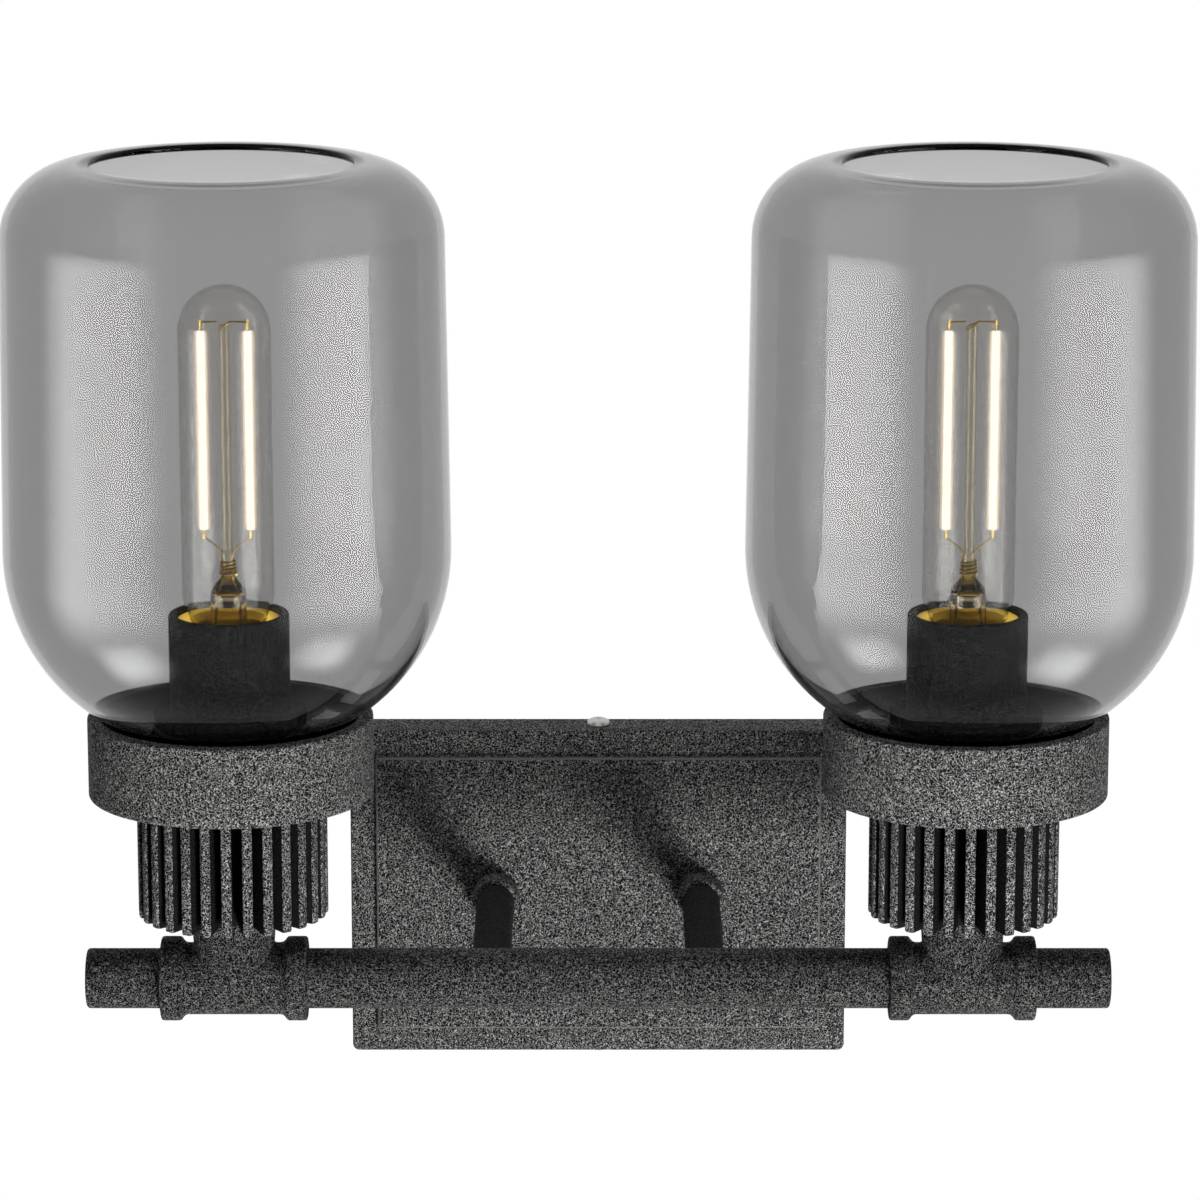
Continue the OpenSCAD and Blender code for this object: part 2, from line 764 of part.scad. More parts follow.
bulb_cap(1);  // bulb_cap_right
bulb_stem(-1);  // bulb_stem_left
bulb_stem(1);  // bulb_stem_right
filaments(-1);  // filaments_left
filaments(1);  // filaments_right
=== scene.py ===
# Looks of a two-light wall lamp of black iron pipe with smoked glass shades.
# All lengths are metres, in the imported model's frame: the wall is y = 0 and the lamp stands out along -Y.
import math

import bmesh
import bpy
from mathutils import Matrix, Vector


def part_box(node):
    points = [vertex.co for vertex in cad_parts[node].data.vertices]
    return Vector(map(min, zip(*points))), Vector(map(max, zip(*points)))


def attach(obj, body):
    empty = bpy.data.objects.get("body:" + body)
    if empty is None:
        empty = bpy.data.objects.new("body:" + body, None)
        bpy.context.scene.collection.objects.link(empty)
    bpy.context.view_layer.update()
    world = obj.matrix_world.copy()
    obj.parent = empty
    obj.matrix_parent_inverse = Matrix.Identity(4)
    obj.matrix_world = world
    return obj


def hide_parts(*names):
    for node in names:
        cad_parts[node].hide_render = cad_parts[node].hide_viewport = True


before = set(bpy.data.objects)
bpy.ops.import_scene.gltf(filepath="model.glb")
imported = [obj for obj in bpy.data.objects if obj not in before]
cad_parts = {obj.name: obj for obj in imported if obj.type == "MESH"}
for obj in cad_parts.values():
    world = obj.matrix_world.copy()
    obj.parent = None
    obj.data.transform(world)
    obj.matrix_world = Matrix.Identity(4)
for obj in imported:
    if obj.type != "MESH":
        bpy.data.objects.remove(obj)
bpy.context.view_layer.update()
MM = 0.001

# Camera.
# A long lens looks down on the lamp from the front at 13 degrees. The focal length and the distance were
# solved from the photograph's frame of 1200 x 1200 pixels.
FRAME_PX = 1200
SENSOR_MM = 36
FOCAL_PX = 5050
TILT = math.radians(13.0)
DISTANCE = 1.749
AIM = Vector((0.0006, -0.111, 0.1324))
camera = bpy.data.objects.new("camera", bpy.data.cameras.new("camera"))
camera.data.lens = FOCAL_PX / FRAME_PX * SENSOR_MM
camera.data.sensor_width = SENSOR_MM
camera.location = AIM + DISTANCE * Vector((0, -math.cos(TILT), math.sin(TILT)))
camera.rotation_euler = (math.pi / 2 - TILT, 0, 0)
bpy.context.scene.collection.objects.link(camera)
bpy.context.scene.camera = camera

# Back plate.
# A tray pressed from steel sheet, with a raised panel, and coated in a fine-textured black powder. Along
# the panel's pressed edge an even grey is a painted highlight. It is hollow behind and hangs on the wall
# bracket by a screw in its top edge and one below.
RIDGE_REACH = 0.055
RIDGE_ROUGHNESS = 0.38
HOLLOW_ROUGHNESS = 0.7
HOLLOW_GLOSS_SHARE = 0.1
# Grey of the painted highlight along the panel's pressed edge.
EDGE_HIGHLIGHT_GREY = (0.14, 0.14, 0.137)


def node_shader(name):
    """A new material and its node tree, with the plain shader in it."""
    material = bpy.data.materials.new(name)
    material.use_nodes = True
    tree = material.node_tree
    return material, tree, tree.nodes["Principled BSDF"]


def set_sockets(tree, node, **inputs):
    """Gives a node's named sockets values, colours or other nodes' outputs."""
    for key, item in inputs.items():
        socket = node.inputs[key.replace("_", " ")]
        if isinstance(item, bpy.types.NodeSocket):
            tree.links.new(item, socket)
        else:
            socket.default_value = (*item, 1) if isinstance(item, tuple) else item
    return node


def add_node(tree, kind, **inputs):
    """A new node with its named sockets set."""
    return set_sockets(tree, tree.nodes.new(kind), **inputs)


def reckon(tree, operation, *inputs):
    """The result of a Math node. Each input is a value or another node's output."""
    node = tree.nodes.new("ShaderNodeMath")
    node.operation = operation
    for socket, item in zip(node.inputs, inputs):
        if isinstance(item, bpy.types.NodeSocket):
            tree.links.new(item, socket)
        else:
            socket.default_value = item
    return node.outputs[0]


def blend(tree, factor, first, second):
    """The first colour where factor is 0 and the second where it is 1."""
    node = tree.nodes.new("ShaderNodeMix")
    node.data_type = "RGBA"
    return set_sockets(tree, node, Factor=factor, A=first, B=second).outputs["Result"]


def attribute(tree, name):
    """The value of a mesh attribute."""
    node = tree.nodes.new("ShaderNodeAttribute")
    node.attribute_name = name
    return node.outputs["Fac"]


def powder_coat(name, dark, pale, grain, depth, gloss):
    """Wrinkled powder coat: ridges about grain metres apart, of the pale colour and glossier than the dark
    hollows between them. Where the mesh attribute edge_highlight is 1, as on a pressed edge, it is an even
    grey, a painted highlight."""
    material, tree, shader = node_shader(name)
    place = tree.nodes.new("ShaderNodeTexCoord").outputs["Object"]
    waves = add_node(tree, "ShaderNodeTexNoise", Vector=place, Scale=1 / grain, Detail=1.0, Roughness=0.5,
                     Distortion=0.4)
    off = reckon(tree, "ABSOLUTE", reckon(tree, "SUBTRACT", waves.outputs["Fac"], 0.5))
    crest = add_node(tree, "ShaderNodeMapRange", Value=off, From_Max=RIDGE_REACH, To_Min=1.0, To_Max=0.0)
    crest.interpolation_type = "SMOOTHSTEP"
    ridge = crest.outputs["Result"]
    paint = blend(tree, ridge, dark, pale)
    set_sockets(tree, shader, Base_Color=blend(tree, attribute(tree, "edge_highlight"), paint, EDGE_HIGHLIGHT_GREY))
    for socket, in_hollows, on_ridges in (("Specular IOR Level", gloss * HOLLOW_GLOSS_SHARE, gloss),
                                          ("Roughness", HOLLOW_ROUGHNESS, RIDGE_ROUGHNESS)):
        level = add_node(tree, "ShaderNodeMapRange", Value=ridge, To_Min=in_hollows, To_Max=on_ridges)
        tree.links.new(level.outputs["Result"], shader.inputs[socket])
    bump = add_node(tree, "ShaderNodeBump", Strength=1.0, Distance=depth, Height=ridge)
    tree.links.new(bump.outputs["Normal"], shader.inputs["Normal"])
    return material


def new_piece(name, verts, faces, material, smooth_deg=35):
    """An object at the origin with its place in its mesh, smooth but for its sharp edges."""
    mesh = bpy.data.meshes.new(name)
    mesh.from_pydata([tuple(v) for v in verts], [], faces)
    tidy = bmesh.new()
    tidy.from_mesh(mesh)
    bmesh.ops.remove_doubles(tidy, verts=tidy.verts, dist=1e-7)
    bmesh.ops.recalc_face_normals(tidy, faces=tidy.faces)
    tidy.to_mesh(mesh)
    tidy.free()
    mesh.shade_smooth()
    mesh.set_sharp_from_angle(angle=math.radians(smooth_deg))
    mesh.materials.append(material)
    piece = bpy.data.objects.new(name, mesh)
    bpy.context.scene.collection.objects.link(piece)
    return piece


def seat(piece, body, slot, *nodes):
    """The piece moves with its body and stands for its CAD nodes. Its slot is not used."""
    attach(piece, body)
    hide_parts(*nodes)


def rounded(points, radii, steps=5):
    """An open outline whose inner corners are turned into arcs, with a radius for each point."""
    out = []
    for i, (here, r) in enumerate(zip(points, radii)):
        if i in (0, len(points) - 1) or r <= 0:
            out.append(Vector(here))
            continue
        here, a, b = Vector(here), Vector(points[i - 1]), Vector(points[i + 1])
        u, v = (a - here).normalized(), (b - here).normalized()
        half = math.acos(max(-1, min(1, u.dot(v)))) / 2
        reach = min(r / math.tan(half), (a - here).length * 0.49, (b - here).length * 0.49)
        centre = here + (u + v).normalized() * (reach / math.cos(half))
        start, end = here + u * reach - centre, here + v * reach - centre
        turn = start.angle_signed(end)
        for k in range(steps + 1):
            angle = -turn * k / steps
            out.append(centre + Vector((
                start.x * math.cos(angle) - start.y * math.sin(angle),
                start.x * math.sin(angle) + start.y * math.cos(angle))))
    return out


coat = powder_coat("black_powder_coat", dark=(0.010, 0.010, 0.010), pale=(0.39, 0.39, 0.38),
                   grain=0.85 * MM, depth=0.12 * MM, gloss=0.16)
PLATE_LOW, PLATE_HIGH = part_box("canopy")
PLATE_FRONT = -PLATE_LOW.y
PLATE_WALL = 2.2 * MM
PANEL_RAISE = 3 * MM
PANEL_BORDER = 9.5 * MM
PLATE_CORNER = 2.4 * MM
PLATE_EDGE = 1.2 * MM
PANEL_INNER_SHARE = 0.6
ARC_STEPS = 6


def rect_ring(half_w, half_h, corner, y):
    """A closed loop of points round the plate at depth y, with round corners."""
    ring = []
    for sx, sz, first in ((1, 1, 0), (-1, 1, 90), (-1, -1, 180), (1, -1, 270)):
        for k in range(ARC_STEPS + 1):
            a = math.radians(first + 90 * k / ARC_STEPS)
            ring.append((sx * (half_w - corner) + corner * math.cos(a), y,
                         sz * (half_h - corner) + corner * math.sin(a)))
    return ring


def plate_tray():
    """The pressed tray: its outer skin from the wall forwards, then its inner skin back to the wall."""
    half_w, half_h = PLATE_HIGH.x, PLATE_HIGH.z
    rim, last_inset = PLATE_FRONT - PANEL_RAISE, half_h * PANEL_INNER_SHARE
    skin = rounded([(0, 0), (0, rim), (PANEL_BORDER, rim), (PANEL_BORDER, PLATE_FRONT),
                    (last_inset, PLATE_FRONT)],
                   [0, PLATE_EDGE, PLATE_EDGE * 0.8, PLATE_EDGE, 0])
    inner = rounded([(PLATE_WALL, 0), (PLATE_WALL, rim - PLATE_WALL),
                     (PANEL_BORDER + PLATE_WALL, rim - PLATE_WALL),
                     (PANEL_BORDER + PLATE_WALL, PLATE_FRONT - PLATE_WALL),
                     (last_inset, PLATE_FRONT - PLATE_WALL)],
                    [0, PLATE_EDGE, PLATE_EDGE, PLATE_EDGE * 0.8, 0])
    verts, faces, rows = [], [], []
    for line in (skin, inner):
        for inset, out in line:
            corner = max(PLATE_CORNER - min(inset, PLATE_CORNER * 0.6), PLATE_CORNER * 0.4)
            rows.append(len(verts))
            verts += rect_ring(half_w - inset, half_h - inset, corner, -out)
    count = len(verts) // len(rows)
    split = len(skin)
    for i in range(len(rows) - 1):
        if i == split - 1:
            continue
        for k in range(count):
            n = (k + 1) % count
            faces.append((rows[i] + k, rows[i] + n, rows[i + 1] + n, rows[i + 1] + k))
    for k in range(count):
        n = (k + 1) % count
        faces.append((rows[0] + k, rows[0] + n, rows[split] + n, rows[split] + k))
    faces.append(tuple(rows[split - 1] + k for k in range(count)))
    faces.append(tuple(rows[-1] + k for k in range(count)))
    return verts, faces


plate = new_piece("back_plate", *plate_tray(), coat)
# Marks the panel's pressed edge, where the coat gets a painted highlight.
edge_highlight = plate.data.attributes.new("edge_highlight", "FLOAT", "POINT")
for v, value in zip(plate.data.vertices, edge_highlight.data):
    inset = min(PLATE_HIGH.x - abs(v.co.x), PLATE_HIGH.z - abs(v.co.z))
    value.value = float(abs(inset - PANEL_BORDER) < PLATE_EDGE * 0.6
                        and v.co.y + PLATE_FRONT < PLATE_EDGE * 0.7)
seat(plate, "lamp_body", "black_textured_metal", "canopy")

# Screws in the plate's edges.
# Nickel-plated pan heads with cross recesses. One holds the plate's top edge to the bracket's ear
# and its twin holds the bottom edge.
SCREW_HEAD_R = 4.3 * MM
SCREW_HEAD_H = 2.4 * MM
SCREW_OUT = -8 * MM
SHANK_R = 2 * MM
SHANK_TIP_R = 1.6 * MM
SHANK_LEN = 9 * MM
SHANK_GAP = 0.01 * MM
CROSS_WIDTH = 4.6 * MM
CROSS_DEPTH = 1.3 * MM
CROSS_FLUTE_SHARE = 0.22
CROSS_TAPER = 0.35


def plated_steel(name, colour, roughness):
    """Plated steel with a fine unevenness in its gloss."""
    material, tree, shader = node_shader(name)
    place = tree.nodes.new("ShaderNodeTexCoord").outputs["Object"]
    grain = add_node(tree, "ShaderNodeTexNoise", Vector=place, Scale=900, Detail=3)
    gloss = add_node(tree, "ShaderNodeMapRange", Value=grain.outputs["Fac"], From_Min=0.3, From_Max=0.7,
                     To_Min=roughness * 0.8, To_Max=roughness * 1.3)
    set_sockets(tree, shader, Base_Color=colour, Metallic=1, Roughness=gloss.outputs["Result"])
    return material


def lathe(profile, centre=(0, 0, 0), axis="Z", segments=96):
    """Vertices and faces of a profile of (radius, height) pairs turned about an axis through centre. A
    profile that starts and ends on the axis, or returns to its start, gives a closed solid."""
    verts, faces, rows = [], [], []
    cx, cy, cz = centre
    for radius, height in profile:
        rows.append((len(verts), radius < 1e-9))
        for k in range(1 if radius < 1e-9 else segments):
            a = 2 * math.pi * k / segments
            u, v = radius * math.cos(a), radius * math.sin(a)
            verts.append({"Z": (cx + u, cy + v, cz + height), "X": (cx + height, cy + u, cz + v),
                          "Y": (cx + u, cy - height, cz + v)}[axis])
    for (a, a_tip), (b, b_tip) in zip(rows, rows[1:]):
        for k in range(segments):
            n = (k + 1) % segments
            if a_tip and b_tip:
                continue
            if a_tip:
                faces.append((a, b + n, b + k))
            elif b_tip:
                faces.append((a + k, a + n, b))
            else:
                faces.append((a + k, a + n, b + n, b + k))
    return verts, faces


def hollow(r_out, r_in, low, high, soft=0.4 * MM):
    """The closed profile of a tube with softened outer edges."""
    line = rounded([(r_in, low), (r_out, low), (r_out, high), (r_in, high)], [0, soft, soft, 0])
    return [*line, line[0]]


def merge(*parts):
    """Several vertex and face lists as one."""
    verts, faces = [], []
    for v, f in parts:
        base = len(verts)
        verts += v
        faces += [tuple(i + base for i in face) for face in f]
    return verts, faces


def cross_cut(piece, place, out):
    """Cuts a cross recess of four tapering flutes at place into a screw head that faces up, or down where
    out is -1."""
    tool_mesh = bpy.data.meshes.new("cross_tool")
    cutter = bmesh.new()
    for turn in range(2):
        bmesh.ops.create_cube(cutter, size=1)
        for v in cutter.verts[-8:]:
            width = CROSS_WIDTH * (1.0 if v.co.z > 0 else CROSS_TAPER)
            x, y, z = v.co.x * width, v.co.y * width * CROSS_FLUTE_SHARE, v.co.z * CROSS_DEPTH * 2
            v.co = (-y, x, z) if turn else (x, y, z)
    for v in cutter.verts:
        v.co = Vector(place) + Vector((v.co.x, v.co.y * out, v.co.z * out))
    bmesh.ops.recalc_face_normals(cutter, faces=cutter.faces)
    cutter.to_mesh(tool_mesh)
    cutter.free()
    tool = bpy.data.objects.new("cross_tool", tool_mesh)
    bpy.context.scene.collection.objects.link(tool)
    cut = piece.modifiers.new("cut", "BOOLEAN")
    cut.object = tool
    cut.operation = "DIFFERENCE"
    cut.solver = "EXACT"
    cut.use_self = True
    flatten(piece)
    bpy.data.objects.remove(tool)


def flatten(piece):
    """Turns the piece's modifiers into a plain mesh."""
    graph = bpy.context.evaluated_depsgraph_get()
    made = bpy.data.meshes.new_from_object(piece.evaluated_get(graph))
    piece.modifiers.clear()
    piece.data = made


nickel = plated_steel("bright_nickel", (0.45, 0.45, 0.44), 0.38)
screws = []
for side in (1, -1):
    top = side * PLATE_HIGH.z
    head = rounded([(0, 0), (SCREW_HEAD_R, 0), (SCREW_HEAD_R * 0.93, SCREW_HEAD_H * 0.7),
                    (SCREW_HEAD_R * 0.55, SCREW_HEAD_H), (0, SCREW_HEAD_H)],
                   [0, 0.3 * MM, 1.2 * MM, 2 * MM, 0])
    shank = [(0, -SHANK_LEN), (SHANK_TIP_R, -SHANK_LEN), (SHANK_R, -SHANK_LEN + 1 * MM),
             (SHANK_R, -SHANK_GAP), (0, -SHANK_GAP)]
    parts = merge(lathe([(r, side * h) for r, h in head], (0, SCREW_OUT, top), segments=48),
                  lathe([(r, side * h) for r, h in shank], (0, SCREW_OUT, top), segments=24))
    screw = new_piece("canopy_screw", *parts, nickel)
    cross_cut(screw, (0, SCREW_OUT, top + side * SCREW_HEAD_H), side)
    screws.append(screw)


def join(name, pieces):
    """One object out of several."""
    whole = bmesh.new()
    for piece in pieces:
        whole.from_mesh(piece.data)
    mesh = bpy.data.meshes.new(name)
    whole.to_mesh(mesh)
    whole.free()
    mesh.materials.append(pieces[0].data.materials[0])
    for piece in pieces:
        bpy.data.objects.remove(piece)
    joined = bpy.data.objects.new(name, mesh)
    bpy.context.scene.collection.objects.link(joined)
    return joined


seat(join("edge_screws", screws), "lamp_body", "bright_steel", "canopy_screws")


# Wall bracket with its earth screw, and the nuts behind the plate.
# Zinc-plated steel strip with slotted holes for the wall box. These pieces keep the CAD's own solids
# and only get their finish, as do the threaded nipples and their nuts inside the lamp.
def refinish(node, material):
    """The CAD's own solid with another finish."""
    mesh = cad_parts[node].data
    mesh.materials.clear()
    mesh.materials.append(material)


zinc = plated_steel("zinc_plate", (0.60, 0.61, 0.62), 0.34)
for name in ("wall_bracket", "arm_nut_left", "arm_nut_right", "nipple_left", "nipple_right",
             "nipple_nuts_left", "nipple_nuts_right"):
    refinish(name, zinc)
refinish("ground_screw", plated_steel("green_screw", (0.09, 0.32, 0.11), 0.4))

# Arms with their ferrules.
# Steel tubes from the plate to the pipe. The outer end is cut to the pipe and welded, and a turned ferrule
# covers the hole in the plate.
# The arms have a darker, nearly even coat: painted shade for tubes that lie behind the pipe.
arm_painted_shade_coat = powder_coat("arm_coat_painted_shade", dark=(0.018, 0.018, 0.018), pale=(0.024, 0.024, 0.024),
                       grain=0.8 * MM, depth=0.01 * MM, gloss=0.05)
ARM_R = 6.85 * MM
ARM_THREAD_R = 6 * MM
ARM_BORE_R = 4 * MM
MOUTH_GAP = 0.05 * MM
BEAD_R = 0.85 * MM
BEAD_WAVE = 0.16 * MM
BEAD_RIPPLES = 19
BEAD_OUT = 0.25 * MM
BEAD_BACK = 0.2 * MM
FERRULE_R = 8.5 * MM
FERRULE_FIT = 0.1 * MM
FERRULE_ROUND = 1.0 * MM
PIPE_FRONT, PIPE_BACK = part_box("centre_pipe")[0].y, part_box("centre_pipe")[1].y
PIPE_R = (PIPE_BACK - PIPE_FRONT) / 2
PIPE_Y = (PIPE_BACK + PIPE_FRONT) / 2
SIDES = (("left", -1), ("right", 1))


def arm_tube(x):
    """A tube along Y whose front end follows the round of the pipe."""
    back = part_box("arm_left")[1].y
    face = PLATE_LOW.y
    segments, verts, faces = 72, [], []
    rings = ((ARM_THREAD_R, back), (ARM_THREAD_R, face), (ARM_R, face), (ARM_R, None),
             (ARM_BORE_R, None), (ARM_BORE_R, back))
    for r, y in rings:
        for k in range(segments):
            a = 2 * math.pi * k / segments
            z = r * math.sin(a)
            reach = y if y is not None else PIPE_Y + math.sqrt(PIPE_R ** 2 - z ** 2) + MOUTH_GAP
            verts.append((x + r * math.cos(a), reach, z))
    for i in range(len(rings)):
        j = (i + 1) % len(rings)
        for k in range(segments):
            n = (k + 1) % segments
            faces.append((i * segments + k, i * segments + n, j * segments + n, j * segments + k))
    return verts, faces


def weld_bead(x):
    """The weld round the arm's mouth: a wavy ring of small radius that lies in the corner."""
    steps, section = 144, 10
    verts, faces = [], []
    for k in range(steps):
        a = 2 * math.pi * k / steps
        bead = BEAD_R + BEAD_WAVE * math.sin(BEAD_RIPPLES * a)
        z, dx = (ARM_R + BEAD_OUT) * math.sin(a), (ARM_R + BEAD_OUT) * math.cos(a)
        y = PIPE_Y + math.sqrt(PIPE_R ** 2 - z ** 2) + BEAD_BACK
        for m in range(section):
            b = 2 * math.pi * m / section
            out = bead * math.cos(b)
            verts.append((x + dx + out * math.cos(a), y + bead * math.sin(b), z + out * math.sin(a)))
    for k in range(steps):
        for m in range(section):
            i, j = k * section, (k + 1) % steps * section
            faces.append((i + m, j + m, j + (m + 1) % section, i + (m + 1) % section))
    return verts, faces


for name, side in SIDES:
    low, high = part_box("arm_ferrule_" + name)
    x = (low.x + high.x) / 2
    seat(new_piece("arm_tube_" + name, *merge(arm_tube(x), weld_bead(x)), arm_painted_shade_coat), "lamp_body",
         "black_textured_metal", "arm_" + name)
    ring = hollow(FERRULE_R, ARM_R + FERRULE_FIT, 0, high.y - low.y, FERRULE_ROUND)
    seat(new_piece("ferrule_" + name, *lathe(ring, (x, high.y, 0), "Y", 72), coat), "lamp_body",
         "black_textured_metal", "arm_ferrule_" + name)

# Pipe.
# Half-inch iron pipe in three lengths: one between the tees and a short closed one outside each.
# The closed ends are dressed smooth with a small round on the edge.
PIPE_WALL = 2.8 * MM
PIPE_BORE_R = PIPE_R - PIPE_WALL
PIPE_END_ROUND = 1.2 * MM
pipe_low, pipe_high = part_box("centre_pipe")
tube_line = hollow(PIPE_R, PIPE_BORE_R, pipe_low.x, pipe_high.x)
seat(new_piece("pipe_between_tees", *lathe(tube_line, (0, PIPE_Y, 0), "X"), coat), "lamp_body",
     "black_textured_metal", "centre_pipe")
for name, side in SIDES:
    low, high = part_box("end_pipe_" + name)
    inner, outer = (low.x, high.x) if side > 0 else (high.x, low.x)
    cap_in = outer - side * PIPE_WALL
    line = rounded([(PIPE_BORE_R, inner), (PIPE_R, inner), (PIPE_R, outer), (0, outer)],
                   [0, 0, PIPE_END_ROUND, 0])
    line += [Vector((0, cap_in)), Vector((PIPE_BORE_R, cap_in)), Vector((PIPE_BORE_R, inner))]
    seat(new_piece("pipe_end_" + name, *lathe(line, (0, PIPE_Y, 0), "X"), coat), "lamp_body",
         "black_textured_metal", "end_pipe_" + name)

# Tees.
# Cast iron fittings with a collar on each mouth. The casting's edges and corners are soft, so each is a
# remeshed and smoothed copy of the CAD's solid.
CASTING_VOXEL = 0.45 * MM
CASTING_PASSES = 6


def soft_casting(node, name):
    """A copy of a CAD node with its edges and corners rounded as in a casting."""
    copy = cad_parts[node].data.copy()
    copy.materials.clear()
    tidy = bmesh.new()
    tidy.from_mesh(copy)
    bmesh.ops.remove_doubles(tidy, verts=tidy.verts, dist=1e-6)
    tidy.to_mesh(copy)
    tidy.free()
    piece = bpy.data.objects.new(name, copy)
    bpy.context.scene.collection.objects.link(piece)
    remesh = piece.modifiers.new("remesh", "REMESH")
    remesh.mode = "VOXEL"
    remesh.voxel_size = CASTING_VOXEL
    soften = piece.modifiers.new("soften", "SMOOTH")
    soften.factor = 0.5
    soften.iterations = CASTING_PASSES
    flatten(piece)
    piece.data.shade_smooth()
    piece.data.materials.append(coat)
    return piece


for name, side in SIDES:
    seat(soft_casting("tee_" + name, "cast_tee_" + name), "lamp_body", "black_textured_metal", "tee_" + name)

# Finned necks.
# Each is one casting: a round core with upright cooling fins. It is threaded into the tee below and its
# spigot centres the cup above. Deep between the fins a darker coat is painted shade.
FIN_COUNT = 28
FIN_R = 33 * MM
FIN_T = 3.6 * MM
FIN_ROUND = 0.7 * MM
FIN_ROOT = 1.0 * MM
FIN_LIT = 3 * MM
CORE_R = 17 * MM
CORE_BORE_R = 8.5 * MM
CORE_TOP_T = 7.5 * MM
SPIGOT_R = 20 * MM
NIPPLE_HOLE_R = 5.1 * MM
NECK_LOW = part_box("tee_left")[1].z
NECK_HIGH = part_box("cup_left")[0].z
LAMP_X = (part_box("cup_right")[0].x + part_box("cup_right")[1].x) / 2


def ring_tree(name):
    """A tree that copies the incoming shape round the Z axis: inputs Count and Finish."""
    tree = bpy.data.node_groups.new(name, "GeometryNodeTree")
    tree.interface.new_socket("Geometry", in_out="INPUT", socket_type="NodeSocketGeometry")
    count = tree.interface.new_socket("Count", in_out="INPUT", socket_type="NodeSocketInt")
    finish = tree.interface.new_socket("Finish", in_out="INPUT", socket_type="NodeSocketMaterial")
    tree.interface.new_socket("Geometry", in_out="OUTPUT", socket_type="NodeSocketGeometry")
    start, end = tree.nodes.new("NodeGroupInput"), tree.nodes.new("NodeGroupOutput")
    line = add_node(tree, "GeometryNodeMeshLine", Count=start.outputs["Count"])
    line.inputs["Offset"].default_value = (0, 0, 0)
    pitch = reckon(tree, "DIVIDE", 2 * math.pi, start.outputs["Count"])
    angle = reckon(tree, "MULTIPLY", pitch, tree.nodes.new("GeometryNodeInputIndex").outputs[0])
    turn = add_node(tree, "ShaderNodeCombineXYZ", Z=angle)
    place = add_node(tree, "GeometryNodeInstanceOnPoints", Points=line.outputs["Mesh"],
                     Instance=start.outputs["Geometry"], Rotation=turn.outputs[0])
    real = add_node(tree, "GeometryNodeRealizeInstances", Geometry=place.outputs["Instances"])
    paint = add_node(tree, "GeometryNodeSetMaterial", Geometry=real.outputs["Geometry"],
                     Material=start.outputs["Finish"])
    tree.links.new(paint.outputs["Geometry"], end.inputs["Geometry"])
    return tree, count.identifier, finish.identifier


def copy_round(piece, tree, count, finish):
    """Runs the ring tree on a piece that stands round the Z axis and makes the result a plain mesh."""
    group, count_id, finish_id = tree
    modifier = piece.modifiers.new("round", "NODES")
    modifier.node_group = group
    modifier[count_id] = count
    modifier[finish_id] = finish
    flatten(piece)


def fin_blade():
    """One upright fin: a wedge from inside the core to the rim, with its outer edges softened."""
    low, high, soft, slight = NECK_LOW, NECK_HIGH, FIN_ROUND, 0.3 * FIN_ROUND
    half, root = math.asin(FIN_T / 2 / FIN_R), CORE_R - FIN_ROOT
    verts, faces = [], []
    corners = [(r * math.cos(half), way * r * math.sin(half))
               for r, way in ((root, -1), (FIN_R, -1), (FIN_R, 1), (root, 1))]
    outline = rounded(corners, [0, soft, soft, 0], 3)
    levels = ((soft, low), (slight, low + slight), (0, low + soft),
              (0, high - soft), (slight, high - slight), (soft, high))
    for inset, z in levels:
        for p in outline:
            r, across = p.x, p.y
            grow = (FIN_R - inset) / FIN_R if r > CORE_R else 1
            verts.append((r * grow, across * (1 - inset / FIN_T * 0.9), z))
    n, last = len(outline), len(levels) - 1
    for i in range(last):
        for k in range(n):
            j = (k + 1) % n
            faces.append((i * n + k, i * n + j, (i + 1) * n + j, (i + 1) * n + k))
    faces.append(tuple(range(n)))
    faces.append(tuple(last * n + k for k in range(n)))
    return verts, faces


fin_ring = ring_tree("fin_ring")
painted_shade_coat = powder_coat("fin_painted_shade_coat", dark=(0.006, 0.006, 0.006), pale=(0.014, 0.014, 0.014),
                          grain=1.0 * MM, depth=0.03 * MM, gloss=0.02)
SPIGOT_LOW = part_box("neck_left")[0].z
SPIGOT_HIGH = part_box("neck_left")[1].z
for name, side in SIDES:
    fins = new_piece("fins", *fin_blade(), coat)
    copy_round(fins, fin_ring, FIN_COUNT, coat)
    line = [(CORE_BORE_R, SPIGOT_LOW), (PIPE_R, SPIGOT_LOW), (PIPE_R, NECK_LOW), (CORE_R, NECK_LOW),
            (CORE_R, NECK_HIGH), (SPIGOT_R, NECK_HIGH), (SPIGOT_R, SPIGOT_HIGH),
            (NIPPLE_HOLE_R, SPIGOT_HIGH), (NIPPLE_HOLE_R, NECK_HIGH - CORE_TOP_T),
            (CORE_BORE_R, NECK_HIGH - CORE_TOP_T)]
    core = new_piece("core", *lathe([*line, line[0]]), coat)
    neck = join("finned_neck_" + name, [fins, core])
    for v in neck.data.vertices:
        v.co += Vector((side * LAMP_X, PIPE_Y, 0))
    neck.data.shade_smooth()
    neck.data.set_sharp_from_angle(angle=math.radians(40))
    # A second, darker coat is painted shade for the core and the fins' flanks away from the rim.
    neck.data.materials.append(painted_shade_coat)
    for face in neck.data.polygons:
        out = math.hypot(face.center.x - side * LAMP_X, face.center.y - PIPE_Y)
        face.material_index = int(CORE_R * 0.95 < out < FIN_R - FIN_LIT and abs(face.normal.z) < 0.5)
    seat(neck, "lamp_body", "black_textured_metal", "neck_" + name)
